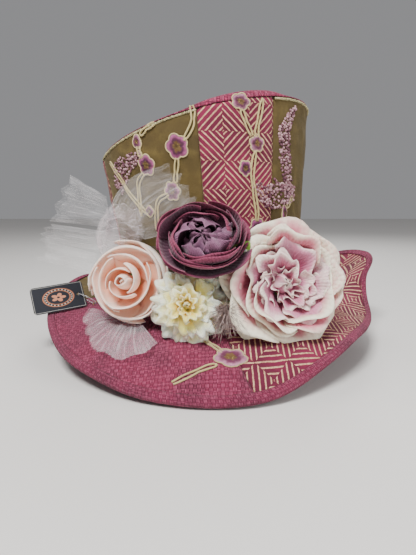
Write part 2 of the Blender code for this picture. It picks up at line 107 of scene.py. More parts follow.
CROWN_PANELS = [
    ("crown_panel_front_left_velvet", -69, -1, "olive_velvet"),
    ("crown_panel_front_jacquard", -1, 36, "jacquard"),
    ("crown_panel_right_velvet", 36, 84, "olive_velvet"),
    ("crown_panel_right_tweed", 84, 132, "tweed"),
    ("crown_panel_back_velvet", 132, 184, "olive_velvet"),
    ("crown_panel_back_jacquard", 184, 240, "jacquard"),
    ("crown_panel_left_jacquard", 240, 291, "jacquard"),
]
BRIM_PANELS = [
    ("brim_top_front_tweed", -85, 6, "tweed"),
    ("brim_top_right_jacquard", 6, 124, "jacquard"),
    ("brim_top_back_tweed", 124, 195, "tweed"),
    ("brim_top_left_velvet", 195, 275, "olive_velvet"),
]

# Layers as (depth below the cloth's face, thickness), then the gaps in degrees and the sizes of the details.
CLOTH = (0.0, 0.0012)
STIFFENER = (0.0019, 0.0012)
CROWN_LINING = (0.0036, 0.0006)
SWEATBAND = (SWEATBAND_DEPTH, 0.0013)
TIP_STIFFENER = (0.0016, 0.0015)
TIP_LINING = (0.0035, 0.0008)
UNDERSIDE = (0.0035, 0.0008)
CROWN_GAP = 0.03
BRIM_GAP = 0.02
TIP_HOLE = 0.0015
BINDING_TOP = 0.0013
BINDING_BOTTOM = -0.0056
BINDING_NOSE = 0.0003
BINDING_THICKNESS = 0.0009
PUCKER = 0.00018
PUCKERS_ROUND = 150
SEAM_DEPTH = 0.0010
SEAM_REACH = 0.0019
PANEL_SWELL = 0.0004
PANEL_SWELL_REACH = 0.007

# The jacquard patterns' middles: (azimuth, height) on the crown, and metres over the brim laid flat.
DIAMOND_CENTRE = (10, 0.166)
BRIM_SQUARE = (0.0475, -0.1380)
CROWN_MEAN_RADIUS = 0.105
LACE_RADIUS = CROWN_MEAN_RADIUS + 0.005
BRIM_MEAN_RADIUS = 0.140
BRIM_EDGE_RADIUS = 0.185

draw = np.random.default_rng(7)


# Numbers and surfaces.


def around(knots, azimuth):
    """The CAD part's smooth closed curve through (azimuth, value) knots, for an array of azimuths."""
    places = np.array([place for place, _ in knots], float)
    values = np.array([value for _, value in knots], float)
    count = len(knots)
    azimuth = (np.asarray(azimuth, float) - places[0]) % 360 + places[0]
    index = np.searchsorted(places, azimuth, side="right") - 1

    def knot(i):
        return places[i % count] + 360 * (i // count), values[i % count]

    (xa, ya), (xb, yb), (xc, yc), (xd, yd) = (knot(index + step) for step in (-1, 0, 1, 2))
    span = xc - xb
    slope_b = (yc - ya) / (xc - xa) * span
    slope_c = (yd - yb) / (xd - xb) * span
    t = (azimuth - xb) / span
    bend = (2 * t**3 - 3 * t**2 + 1) * yb + (3 * t**2 - 2 * t**3) * yc
    return bend + (t**3 - 2 * t**2 + t) * slope_b + (t**3 - t**2) * slope_c


def through(knots, count):
    """Points evenly along a smooth line through the knots, which are rows of numbers."""
    knots = np.array(knots, float)
    padded = np.vstack([2 * knots[0] - knots[1], knots, 2 * knots[-1] - knots[-2]])
    place = np.linspace(0, len(knots) - 1, count)
    index = np.minimum(place.astype(int), len(knots) - 2)
    t = (place - index)[:, None]
    a, b, c, d = (padded[index + step] for step in range(4))
    return b + t * ((c - a) / 2 + t * (a - 2.5 * b + 2 * c - d / 2 + t * (1.5 * (b - c) + (d - a) / 2)))


def unit(vectors):
    return vectors / np.maximum(np.linalg.norm(vectors, axis=-1, keepdims=True), 1e-12)


def rim_height(azimuth):
    return RIM_MEAN + RIM_SLANT * np.cos(np.radians(np.asarray(azimuth, float) - RIM_HIGH_SIDE))


def crown_at(azimuth, height):
    a = np.radians(azimuth)
    half_width = CROWN_HALF_WIDTH + CROWN_FLARE_WIDTH * height
    half_depth = CROWN_HALF_DEPTH + CROWN_FLARE_DEPTH * height
    parts = np.broadcast_arrays(CROWN_LEAN * height + half_width * np.sin(a), -half_depth * np.cos(a), height)
    return np.stack(parts, axis=-1)


def crown(azimuth, share):
    return crown_at(azimuth, WALL_FOOT + share * (rim_height(azimuth) - WALL_FOOT))


def share_at(azimuth, height):
    return (height - WALL_FOOT) / (rim_height(azimuth) - WALL_FOOT)


def sweat_wall(azimuth, share):
    foot = crown_at(azimuth, 0 * np.asarray(azimuth, float))
    return foot + np.stack(np.broadcast_arrays(0, 0, share * SWEATBAND_HEIGHT), axis=-1)


def tip(azimuth, share):
    """The crown's closed top. Share 0 is its middle, and the last tenth rolls down over the rim."""
    azimuth, share = np.broadcast_arrays(azimuth, share)
    rim = crown_at(azimuth, rim_height(azimuth) + STEP_GAP)
    middle = np.array([CROWN_LEAN * RIM_MEAN, 0, RIM_MEAN])
    roll = around(TIP_ROLL, azimuth)
    radius = np.linalg.norm(rim - middle, axis=-1)
    turn = np.clip((share - TIP_FLAT) / (1 - TIP_FLAT), 0, 1) * np.pi / 2
    inside = share <= TIP_FLAT
    reach = np.where(inside, share / TIP_FLAT * (1 - roll / radius), 1 - roll / radius * (1 - np.sin(turn)))
    swell = TIP_DOME * (1 - (share / TIP_FLAT) ** 2)
    even = np.clip(share / TIP_FLAT, 0, 1) ** 2
    rise = np.where(inside, roll * even + TIP_MIDDLE_RISE * (1 - even) + swell, roll * np.cos(turn))
    lift = np.stack([0 * rise, 0 * rise, rise], axis=-1)
    return middle + (rim - middle) * reach[..., None] + lift


def brim(azimuth, share):
    """The brim's upper face. Share 0 is the crown's base and 1 the outside of the binding."""
    azimuth, share = np.broadcast_arrays(azimuth, share)
    edge = around(BRIM_EDGE, azimuth)
    reach = around(BRIM_REACH, azimuth)
    a = np.radians(azimuth + BRIM_TWIST * (share - 0.5))
    half_width = CROWN_HALF_WIDTH + (BRIM_HALF_WIDTH * reach - CROWN_HALF_WIDTH) * share
    half_depth = CROWN_HALF_DEPTH + (BRIM_HALF_DEPTH * reach - CROWN_HALF_DEPTH) * share
    curl = np.clip((edge + 0.010) / 0.020, 0, 1)
    height = BRIM_TOP * (1 - share) + edge * np.maximum(share, 0) ** (1.3 + 0.9 * curl)
    return np.stack([half_width * np.sin(a), -half_depth * np.cos(a), height], axis=-1)


def normal_of(surface, azimuth, share):
    """Unit normals that point away from the inside of the hat."""
    step = 0.004
    inner = np.clip(share, 0.02, None)
    along = surface(azimuth, inner + step) - surface(azimuth, inner - step)
    across = surface(azimuth + 0.5, inner) - surface(azimuth - 0.5, inner)
    return unit(np.cross(across, along)) * (1 if surface in (crown, sweat_wall) else -1)


def below(surface, azimuth, share, depth):
    depth = np.asarray(depth, float)
    return surface(azimuth, share) - normal_of(surface, azimuth, share) * depth[..., None]


def ripple(u, v, size, seed):
    """Soft random waves over two coordinates, about -1 to 1, that are the same at every run."""
    waves = np.random.default_rng(seed)
    total = 0
    for _ in range(5):
        turn = waves.uniform(0, np.pi)
        length = size * waves.uniform(0.6, 1.6)
        along = u * np.cos(turn) + v * np.sin(turn)
        total = total + np.sin(along * 2 * np.pi / length + waves.uniform(0, 6))
    return total / 3


# Meshes.


def link(name, data):
    made = bpy.data.objects.new(name, data)
    bpy.context.scene.collection.objects.link(made)
    return made


def add_mesh(name, points, faces, finish, uv=None, smooth=True):
    """A new mesh of one finish. Its UV map, where it has one, is given point by point."""
    data = bpy.data.meshes.new(name)
    faces = faces.tolist() if isinstance(faces, np.ndarray) else faces
    data.from_pydata(np.asarray(points, float).reshape(-1, 3).tolist(), [], faces)
    if uv is not None:
        layer = data.uv_layers.new(name="cloth")
        corners = np.empty(len(data.loops), int)
        data.loops.foreach_get("vertex_index", corners)
        uv = np.asarray(uv, float).reshape(-1, 2)[corners]
        layer.data.foreach_set("uv", uv.astype(np.float32).ravel())
    data.materials.append(MATERIALS[finish])
    if smooth:
        data.shade_smooth()
    return link(name, data)


def grid_faces(columns, rows, start=0, closed=False):
    """Quads over a grid of points, columns first. A closed grid joins its last column to its first."""
    i, j = np.meshgrid(np.arange(columns if closed else columns - 1), np.arange(rows - 1), indexing="ij")
    k = (i + 1) % columns
    quads = np.stack([i * rows + j, k * rows + j, k * rows + j + 1, i * rows + j + 1], axis=-1)
    return start + quads.reshape(-1, 4)


def face_out(made, outwards):
    """Turns a mesh inside out where its faces look away from these directions, given point by point."""
    face = made.data.polygons[len(made.data.polygons) // 2]
    if np.dot(face.normal, outwards.reshape(-1, 3)[face.vertices[0]]) < 0:
        made.data.flip_normals()


def thicken(made, thickness, offset=-1.0):
    """Adds thickness away from the normals, or to both sides where the offset is 0."""
    solid = made.modifiers.new("thickness", "SOLIDIFY")
    solid.thickness = thickness
    solid.offset = offset


def finishing(made, body, slot, *nodes):
    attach(made, body)
    if nodes:
        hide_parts(*nodes)


class Tubes:
    """Round cords gathered into one mesh. Their UV map is (turns round, length along)."""

    def __init__(self):
        self.points, self.uv, self.faces, self.count = [], [], [], 0

    def add(self, line, radius, sides=8, closed=False):
        line = np.asarray(line, float)
        count = len(line)
        radius = np.broadcast_to(np.asarray(radius, float), (count,))
        ahead = np.roll(line, -1, axis=0) - np.roll(line, 1, axis=0)
        if not closed:
            ahead[0], ahead[-1] = line[1] - line[0], line[-1] - line[-2]
        ahead = unit(ahead)
        side = np.cross(ahead[0], [0.3, 0.5, 0.8])
        sideways = []
        for direction in ahead:
            side = side - direction * np.dot(side, direction)
            side = side / np.linalg.norm(side)
            sideways.append(side)
        sideways = np.array(sideways)
        upwards = np.cross(ahead, sideways)
        turn = np.linspace(0, 2 * np.pi, sides, endpoint=False)[None, :, None]
        ring = sideways[:, None] * np.cos(turn) + upwards[:, None] * np.sin(turn)
        points = line[:, None] + ring * radius[:, None, None]
        length = np.concatenate([[0], np.cumsum(np.linalg.norm(np.diff(line, axis=0), axis=1))])
        uv = np.stack(np.broadcast_arrays(np.arange(sides) / sides, length[:, None]), axis=-1)
        i, j = np.meshgrid(np.arange(count if closed else count - 1), np.arange(sides), indexing="ij")
        k, beside = (i + 1) % count, (j + 1) % sides
        quads = np.stack([i * sides + j, i * sides + beside, k * sides + beside, k * sides + j], axis=-1)
        self.points.append(points.reshape(-1, 3))
        self.uv.append(uv.reshape(-1, 2))
        self.faces += (quads.reshape(-1, 4) + self.count).tolist()
        if not closed:
            self.faces.append([self.count + j for j in reversed(range(sides))])
            self.faces.append([self.count + (count - 1) * sides + j for j in range(sides)])
        self.count += count * sides

    def make(self, name, finish):
        return add_mesh(name, np.vstack(self.points), self.faces, finish, np.vstack(self.uv))


# Materials: small wrappers that turn arithmetic into shader nodes.

MATERIALS = {}


def rgb(code):
    """A colour written as six hex digits, in linear light."""
    parts = [int(code[i : i + 2], 16) / 255 for i in (0, 2, 4)]
    return (*(part / 12.92 if part <= 0.04045 else ((part + 0.055) / 1.055) ** 2.4 for part in parts), 1.0)


def feed(tree, socket, item):
    """Gives a socket a Value, a number or a colour code."""
    if isinstance(item, Value):
        tree.links.new(item.socket, socket)
    else:
        socket.default_value = rgb(item) if isinstance(item, str) else item


def add_node(tree, kind, inputs, output=0, **settings):
    """Adds a shader node with its settings and inputs, and gives one of its outputs."""
    node = tree.nodes.new("ShaderNode" + kind)
    for setting, value in settings.items():
        setattr(node, setting, value)
    for place, item in inputs.items():
        feed(tree, node.inputs[place], item)
    return Value(tree, node.outputs[output])


class Value:
    """A number or colour inside a material. Arithmetic on it adds the nodes that work it out."""

    def __init__(self, tree, socket):
        self.tree, self.socket = tree, socket

    def maths(self, operation, *others):
        return add_node(self.tree, "Math", dict(enumerate((self, *others))), operation=operation)

    __add__ = partialmethod(maths, "ADD")
    __sub__ = partialmethod(maths, "SUBTRACT")
    __mul__ = partialmethod(maths, "MULTIPLY")
    __truediv__ = partialmethod(maths, "DIVIDE")
    __pow__ = partialmethod(maths, "POWER")
    __gt__ = partialmethod(maths, "GREATER_THAN")
    __lt__ = partialmethod(maths, "LESS_THAN")
    floor = partialmethod(maths, "FLOOR")
    fract = partialmethod(maths, "FRACT")
    abs = partialmethod(maths, "ABSOLUTE")
    sin = partialmethod(maths, "SINE")
    cos = partialmethod(maths, "COSINE")

    def wave(self, length):
        """0 to 1 and back over each length, as the height of a round thread."""
        return (self * (np.pi / length)).sin().abs()

    def steps(self, low, high):
        """0 below low, 1 above high, and smooth between."""
        ends = {0: self, 1: low, 2: high}
        return add_node(self.tree, "MapRange", ends, interpolation_type="SMOOTHSTEP")

    def between(self, first, second):
        """first where this is 0, second where it is 1. They are numbers or values."""
        return add_node(self.tree, "Mix", {0: self, 2: first, 3: second})

    def colour(self, first, second):
        """A colour from first at 0 to second at 1. They are colour codes or earlier colours."""
        return add_node(self.tree, "Mix", {0: self, 6: first, 7: second}, output=2, data_type="RGBA")


class Finish:
    """A new material, with its coordinates and noises ready to use."""

    def __init__(self, name, roughness=0.85, **sockets):
        material = bpy.data.materials.new(name)
        material.use_nodes = True
        MATERIALS[name] = material
        self.tree = material.node_tree
        self.shader = self.tree.nodes["Principled BSDF"]
        for socket, value in {"Roughness": roughness, **sockets}.items():
            self.shader.inputs[socket.replace("_", " ")].default_value = value

    def cloth(self):
        """The UV map's two coordinates."""
        uv = add_node(self.tree, "UVMap", {}, uv_map="cloth")
        return [add_node(self.tree, "SeparateXYZ", {0: uv}, output) for output in (0, 1)]

    def join(self, x, y, z=0.0):
        return add_node(self.tree, "CombineXYZ", {0: x, 1: y, 2: z})

    def place(self):
        """The point in the part's frame."""
        return add_node(self.tree, "TexCoord", {}, "Object")

    def noise(self, vector, scale, detail=2.0, roughness=0.5):
        inputs = {"Vector": vector, "Scale": scale, "Detail": detail, "Roughness": roughness}
        return add_node(self.tree, "TexNoise", inputs)

    def chance(self, vector):
        """A number from 0 to 1 that is different for each whole-number vector."""
        return add_node(self.tree, "TexWhiteNoise", {"Vector": vector}, "Value", noise_dimensions="3D")

    def feed(self, socket, item):
        feed(self.tree, self.shader.inputs[socket], item)

    def paint(self, colour, *coats):
        """The base colour: one colour, under coats as (how much of it shows, colour)."""
        for amount, coat in coats:
            colour = amount.colour(colour, coat)
        self.feed("Base Color", colour)

    def relief(self, height, distance):
        inputs = {"Height": height, "Strength": 1.0, "Distance": distance}
        self.feed("Normal", add_node(self.tree, "Bump", inputs))


STITCH = 0.0014
CROSS_STITCH = 0.0022
NET_MESH = 0.0011
NET_SLANT = 0.577
NET_RISE = 1.155
SQRT_HALF = 0.70711


def weave_tweed(name, dark, middle, light, cell=0.0032):
    """A basket weave: blocks of three threads that lie lengthwise and crosswise in turn."""
    made = Finish(name, 0.95, Sheen_Weight=0.04)
    u, v = made.cloth()
    spot = made.place()
    wobble = (made.noise(spot, 120) - 0.5) * 0.0007
    u, v = u + wobble, v + wobble
    across, along = (u / cell).floor(), (v / cell).floor()
    parity = ((across + along) * 0.5).fract() * 2
    thread = parity.between(v, u)
    lengthwise = parity.between(u, v)
    number = (thread / (cell / 3)).floor()
    profile = thread.wave(cell / 3) * (lengthwise.wave(cell) ** 0.5)
    kind = made.chance(made.join(number, (lengthwise / cell / 4).floor(), parity))
    blotch = made.noise(spot, 38, 4)
    fibre = made.noise(spot, 1400, 2)
    made.paint(
        middle,
        (blotch.steps(0.42, 0.66) * 0.60, dark),
        (parity * 0.22, light),
        (kind.steps(0.60, 0.90) * 0.35, light),
        ((kind < 0.25) * 0.30, dark),
        # Painted shade in the hollows between threads, and painted highlight on the threads' crowns with some
        # random pale fibres.
        (profile.steps(0.62, 0.10) * 0.80, dark),
        (profile.steps(0.80, 0.98) * 0.40 + fibre.steps(0.55, 0.75) * 0.15, light),
    )
    made.relief(profile + fibre * 0.25, 0.0007)


def weave_jacquard(name, turned, centre, width, height, lines):
    """Cream lines in nested diamonds on plum. Turned by an eighth, they read as nested squares."""
    made = Finish(name, 0.88, Sheen_Weight=0.03)
    u, v = made.cloth()
    u, v = u - centre[0], v - centre[1]
    if turned:
        u, v = (u + v) * SQRT_HALF, (v - u) * SQRT_HALF
    spot = made.place()
    shake = (made.noise(spot, 160) - 0.5) * 0.10
    x, y = u / width, v / height
    a = (((x + 0.5).fract() - 0.5) * 2).abs()
    b = (((y + 0.5).fract() - 0.5) * 2).abs()
    reach = a + b + shake * 0.4
    alike = (x.fract() < 0.5) * (y.fract() < 0.5) + (x.fract() > 0.5) * (y.fract() > 0.5)
    step = (reach * lines + alike * 0.5).fract()
    edge = (step - 0.5).abs()
    stitch = ((u + v) / STITCH).fract().wave(1.0)
    cross = ((u - v) / CROSS_STITCH).fract().wave(1.0)
    line = (edge + stitch * 0.07 + (made.noise(spot, 700) - 0.5) * 0.12).steps(0.215, 0.150)
    ground = made.noise(spot, 45, 3).steps(0.35, 0.7).colour("5E0A2C", "821840")
    # Painted shade: the ground and the cream thread darken in the grooves between stitches.
    ground = (stitch.steps(0.6, 0.2) * 0.5).colour(ground, "3E051A")
    thread = made.noise(spot, 500, 2).steps(0.3, 0.7).colour("E2C296", "BE8E6C")
    thread = (stitch.steps(0.55, 0.1) * 0.6).colour(thread, "9C4660")
    made.paint(line.colour(ground, thread))
    made.relief(line * 0.8 + stitch * 0.35 + cross * 0.15, 0.0006)


def pile_velvet(name, dark, middle, light):
    made = Finish(name, 0.9, Sheen_Weight=0.12, Sheen_Roughness=0.4)
    made.shader.inputs["Sheen Tint"].default_value = rgb("D8CDA0")
    spot = made.place()
    crush = made.noise(spot, 26, 3, 0.55)
    brush = made.noise(spot, 90, 3)
    pile = made.noise(spot, 1500, 2)
    made.paint(
        middle,
        (crush.steps(0.30, 0.75) * 0.7, dark),
        (brush.steps(0.45, 0.85) * 0.40, light),
        (pile.steps(0.5, 0.8) * 0.35, dark),
    )
    made.relief(crush * 0.5 + brush * 0.3 + pile * 0.1, 0.0022)


def plain_weave(name, first, second, length, roughness=0.9, depth=0.0003, spread=0.6, ribs=False, sheen=0.1):
    """A simple over-and-under weave, or ribs that run along the second coordinate."""
    made = Finish(name, roughness, Sheen_Weight=sheen)
    u, v = made.cloth()
    spot = made.place()
    if ribs:
        height = u.wave(length)
    else:
        height = (u.wave(length) * v.wave(length)) ** 0.5
    mix = made.noise(spot, 60, 4)
    # The lighter second colour: partly random tone, partly painted highlight on the threads' crowns.
    made.paint(first, ((mix * spread + height * 0.4).steps(0.2, 0.9), second))
    made.relief(height + made.noise(spot, 900) * 0.3, depth)


def matted(name, first, second, scale, roughness=0.95, depth=0.0004):
    """Felt, wire, thread or stem: two colours mottled by noise, over a fine rough relief."""
    made = Finish(name, roughness)
    spot = made.place()
    made.paint(made.noise(spot, scale, 4).steps(0.35, 0.65).colour(first, second))
    made.relief(made.noise(spot, scale * 6, 3), depth)
    return made


def twisted(name, dark, light, pitch=0.0016):
    """Cord of two plies: the UV map is (turns round, length along)."""
    made = Finish(name, 0.75, Sheen_Weight=0.3)
    u, v = made.cloth()
    ply = (u + v / pitch).wave(0.5)
    # Painted shade in the grooves between the plies and painted highlight on their crowns, with a little
    # random tone.
    made.paint((ply * 0.8 + made.noise(made.place(), 700) * 0.3).steps(0.15, 0.75).colour(dark, light))
    made.relief(ply, 0.0004)


def petal_cloth(name, foot, body, lip, edge, shade=None, side=None, roughness=0.75, vein=0.00025, sheen=0.2,
                through=0.15):
    """Petals: the UV map is (the petal's number plus how far across it, how far from foot to lip)."""
    made = Finish(name, roughness, Sheen_Weight=sheen, Subsurface_Weight=through, Subsurface_Scale=0.004)
    made.shader.inputs["Subsurface Radius"].default_value = (1.0, 0.5, 0.4)
    u, v = made.cloth()
    number = u.floor()
    across = (u.fract() - 0.5) * 2
    one = made.chance(made.join(number, 3.0, 1.0))
    two = made.chance(made.join(number, 8.0, 5.0))
    spot = made.place()
    smoke = made.noise(spot, 70, 3)
    fine = made.noise(spot, 420, 3)
    rise = v + (smoke - 0.5) * 0.45 + (one - 0.5) * 0.35
    # Foot to body: partly the petals' own deeper colour at their foot, partly painted shade low between the
    # petals.
    coats = [(rise.steps(0.12, 0.62), body)]
    if side:
        coats.append(((two - 0.5 + across * 0.5 + (smoke - 0.5)).steps(0.05, 0.7) * 0.8, side))
    coats.append(((rise + across.abs() ** 3 * 0.10).steps(edge - 0.25, edge + 0.10), lip))
    if shade:
        coats.append(((one - 0.1 + (fine - 0.5) * 0.8).steps(0.55, 0.95) * 0.5, shade))
    made.paint(foot, *coats)
    lines = (across * 9 + (fine - 0.5) * 0.6).wave(1.0)
    made.relief(lines * 0.4 + fine * 0.6 + smoke * 0.8, vein * 2)


def net_cloth(name, colour, cover):
    """Tulle: fine threads over gaps, in three directions, and streaks where the net lies closer."""
    made = Finish(name, 0.8, Sheen_Weight=0.3)
    u, v = made.cloth()
    first = ((u + v * NET_SLANT) / NET_MESH).fract().wave(1.0)
    second = ((u - v * NET_SLANT) / NET_MESH).fract().wave(1.0)
    third = ((v * NET_RISE) / NET_MESH).fract().wave(1.0)
    threads = first.maths("MINIMUM", second).maths("MINIMUM", third)
    veil = threads.steps(0.55, 0.12) * (cover * 1.1) + cover * 0.25
    streak = made.noise(made.join(u * 30, v * 420), 1.0, 3)
    veil = veil + streak.steps(0.50, 0.68) * (cover * 1.6)
    veil = veil + (made.noise(made.place(), 60, 3) - 0.5) * (cover * 0.5)
    made.paint(made.noise(made.place(), 90).colour(colour, "FFFFFF"))
    made.feed("Alpha", veil)


def embroidered(name, heart, middle, outer):
    """Thread blossoms: the UV map is (turns round, how far out)."""
    made = Finish(name, 0.7, Sheen_Weight=0.05)
    u, v = made.cloth()
    spot = made.place()
    threads = (u * 60 + (made.noise(spot, 500) - 0.5) * 1.2).wave(1.0)
    tone = v + (made.noise(spot, 260, 3) - 0.5) * 0.5
    made.paint(
        heart,
        (tone.steps(0.28, 0.5), middle),
        (tone.steps(0.55, 0.95), outer),
        # Painted shade: the darker middle colour lies in the grooves between threads.
        (threads.steps(0.5, 0.1) * 0.35, middle),
    )
    made.relief(threads, 0.0004)


def make_materials():
    weave_tweed("tweed", "460822", "84163E", "CC6084")
    weave_tweed("tweed_binding", "480A24", "821840", "C05A7C", cell=0.0030)
    weave_tweed("tweed_underside", "4A0C26", "7E1C44", "B85A7C")
    start = np.radians(DIAMOND_CENTRE[0]) * CROWN_MEAN_RADIUS
    weave_jacquard("jacquard", False, (start, DIAMOND_CENTRE[1]), 0.046, 0.048, 4.0)
    weave_jacquard("jacquard_brim", True, BRIM_SQUARE, 0.0424, 0.0424, 3.0)
    pile_velvet("olive_velvet", "3A2D10", "52421B", "7C6A36")
    plain_weave("buckram", "CFC8B8", "F0ECE2", 0.0016)
    plain_weave("satin", "63324A", "85506A", 0.0005, roughness=0.38, depth=0.0001, sheen=0.3)
    plain_weave("grosgrain", "33101F", "552238", 0.0012, depth=0.0004, ribs=True)
    matted("felt", "453A2C", "5C5040", 300)
    wire = matted("wire", "8E8E90", "C4C4C6", 200, 0.35, 0.0001)
    wire.shader.inputs["Metallic"].default_value = 1.0
    twisted("cord", "8A6A2C", "DCC888")
    twisted("cord_pale", "9A7C40", "E2CE96")
    matted("bead_lilac", "8E606C", "C09A9E", 420, 0.7, 0.0003)
    matted("bead_mauve", "4E2834", "744854", 420, 0.7, 0.0003)
    # Painted sheen: the pale colour of the cords along the velvet's edge.
    matted("nap_sheen", "8C8258", "C0B88E", 500, 0.95, 0.0003)
    embroidered("blossom", "7A5A1C", "54123A", "B0588A")
    embroidered("blossom_pale", "86622A", "6E2A4C", "C486A0")
    matted("gold_thread", "8F7A35", "D9C070", 500, 0.6, 0.0003)
    matted("leaf", "587A20", "8CB040", 120, 0.55, 0.0003)
    matted("stem_green", "5B7A33", "86A04C", 120, 0.6, 0.0002)
    matted("feather", "88726E", "B8A49E", 160, 0.9, 0.0002)
    net_cloth("tulle", "DED2D2", 0.072)
    net_cloth("tulle_pink", "E4BFC8", 0.12)
    rose = {"edge": 0.86, "vein": 0.0004}
    petal_cloth("garden_rose_outer", "A22850", "D07486", "F5EBD2", shade="C86078", side="EDC8B8", **rose)
    petal_cloth("garden_rose_inner", "8E2C52", "CC7E98", "F2DCD2", shade="B86888", side="E8C2C6", **rose)
    peony = {"vein": 0.0004, "through": 0.0}
    petal_cloth("peony_outer", "30101F", "4A1E36", "84304F", 0.90, shade="220818", side="5A2440", **peony)
    petal_cloth("peony_inner", "22091A", "643450", "8A5876", 0.86, shade="3A1830", side="754A6C", **peony)
    foam = {"roughness": 0.85, "vein": 0.00003, "sheen": 0.0}
    petal_cloth("foam_rose", "F4B090", "FBD2C0", "FCDCCE", 0.92, through=0.45, **foam)
    petal_cloth("carnation", "F6D878", "FDF0B4", "FFFBE2", 0.84, shade="FAE69C", through=0.45)
    petal_cloth("carnation_heart", "F2C040", "FBE27E", "FFF4C0", 0.90, shade="F6D262", through=0.45)
    paint_card()
    plastic = Finish("clear_plastic", 0.2, Transmission_Weight=0.8, IOR=1.5)
    plastic.paint(plastic.noise(plastic.place(), 300).colour("E8E8E8", "FFFFFF"))


# The swing tag's card, in its own frame: the hole is at (0, 0), and its length runs towards -X.
TAG_WIDTH = 0.0525
TAG_HEIGHT = 0.0305
TAG_THICKNESS = 0.0008
TAG_CORNER = 0.0035
TAG_HOLE_INSET = 0.006
TAG_HOLE_RADIUS = 0.0019
# The same card in the part's frame.
TAG_FACING = (0.28438, -0.73737, 0.61272)
TAG_ALONG = (0.8895, 0.419, 0.0914)
TAG_HOLE = (-0.144026, -0.040234, 0.010645)
TAG_BORDER = 0.0012
OVAL_OUTSIDE = 0.0102
OVAL_INSIDE = 0.0078
OVAL_STRETCH = 1.5
DOT_RING = 0.0090


def paint_card():
    """Dark blue card with a pale border line and a plain five-petal emblem in an oval."""
    made = Finish("card", 0.6, Specular_IOR_Level=0.25)
    u, v = made.cloth()
    beyond = v.abs() - (TAG_HEIGHT / 2 - TAG_BORDER)
    border = (u.abs() - (TAG_WIDTH / 2 - TAG_BORDER)).maths("MAXIMUM", beyond)
    rim = border.abs().steps(0.0003, 0.0001)
    x, y = u / OVAL_STRETCH, v
    out = (x * x + y * y) ** 0.5
    oval = (out - OVAL_OUTSIDE).abs().steps(0.0006, 0.0002)
    inner = (out - OVAL_INSIDE).abs().steps(0.0005, 0.0002)
    turn = y.maths("ARCTAN2", x)
    petals = (turn * 2.5).cos().abs() * 0.0028 + 0.0022
    emblem = (out - petals).steps(0.0003, -0.0002) * (out > 0.0010)
    dots = ((turn * 12).sin().abs().steps(0.75, 0.95)) * (out - DOT_RING).abs().steps(0.0008, 0.0003)
    shade = made.noise(made.place(), 500, 3)
    made.paint(
        "05070F",
        (shade, "0B1020"),
        (rim * 0.6, "C9C6BE"),
        ((oval + inner).maths("MINIMUM", 1.0) * 0.9, "B5714E"),
        (dots * 0.8, "D9D2C6"),
        (emblem * 0.9, "C98463"),
    )
    made.relief(shade, 0.00005)


# The hat's layers.


def seam_dip(azimuth, panels, radius):
    """How far the cloth swells between its seams, and sinks where the panels are stitched together."""
    starts = np.array([start for _, start, _, _ in panels])
    away = np.abs((azimuth[..., None] - starts + 180) % 360 - 180).min(axis=-1)
    nearest = np.minimum(np.radians(away) * radius, 1.0)
    swell = PANEL_SWELL * (1 - np.exp(-((nearest / PANEL_SWELL_REACH) ** 2)))
    return swell - SEAM_DEPTH * np.exp(-((nearest / SEAM_REACH) ** 2))


def crown_skin(azimuth, share):
    azimuth, share = np.broadcast_arrays(azimuth, share)
    u, v = np.radians(azimuth) * CROWN_MEAN_RADIUS, share * WALL_HEIGHT
    soft = ripple(u, v, 0.075, 3) * 0.0007 + ripple(u, v, 0.024, 5) * 0.00025
    ends = np.clip(share * 12, 0, 1) * np.clip((1 - share) * 12, 0, 1)
    rolled = -0.0011 * np.clip((share - 0.975) / 0.025, 0, 1) ** 2
    return seam_dip(azimuth, CROWN_PANELS, CROWN_MEAN_RADIUS) + soft * ends + rolled


def brim_skin(azimuth, share):
    azimuth, share = np.broadcast_arrays(azimuth, share)
    u, v = np.radians(azimuth) * BRIM_MEAN_RADIUS, share * BRIM_SPAN
    soft = ripple(u, v, 0.060, 11) * 0.0006 + ripple(u, v, 0.020, 12) * 0.0002
    return seam_dip(azimuth, BRIM_PANELS, BRIM_MEAN_RADIUS) + soft * np.clip(share * 8, 0, 1)


def cloth_uv(surface, azimuth, share):
    """A layer's UV map in metres: (length round, height) on a wall, and laid flat on the tip and the brim."""
    points = surface(azimuth, share)
    if surface is tip:
        return points[..., :2]
    if surface is not brim:
        return np.stack([np.radians(azimuth) * CROWN_MEAN_RADIUS, points[..., 2]], axis=-1)
    turn = np.radians(azimuth + BRIM_TWIST * (share - 0.5))
    out = (CROWN_HALF_WIDTH + CROWN_HALF_DEPTH) / 2 + share * BRIM_SPAN
    return np.stack([out * np.sin(turn), -out * np.cos(turn)], axis=-1)


def hat_layer(name, node, surface, azimuths, shares, layer, finish, slot=None, skin=None):
    """A layer of the hat. It starts at its depth below a surface, and it is thick on the inside."""
    depth, thickness = layer
    azimuth, share = np.meshgrid(azimuths, shares, indexing="ij")
    proud = skin(azimuth, share) if skin else 0 * share
    points = below(surface, azimuth, share, depth - proud)
    faces = grid_faces(len(azimuths), len(shares))
    made = add_mesh(name, points, faces, finish, cloth_uv(surface, azimuth, share))
    face_out(made, normal_of(surface, azimuth, share))
    thicken(made, thickness)
    finishing(made, "hat", slot or finish, node)


def panel_columns(start, end, gap, density):
    """A panel's azimuths: so many a degree, with a gap left at each end."""
    return np.linspace(start + gap, end - gap, int((end - start) * density))


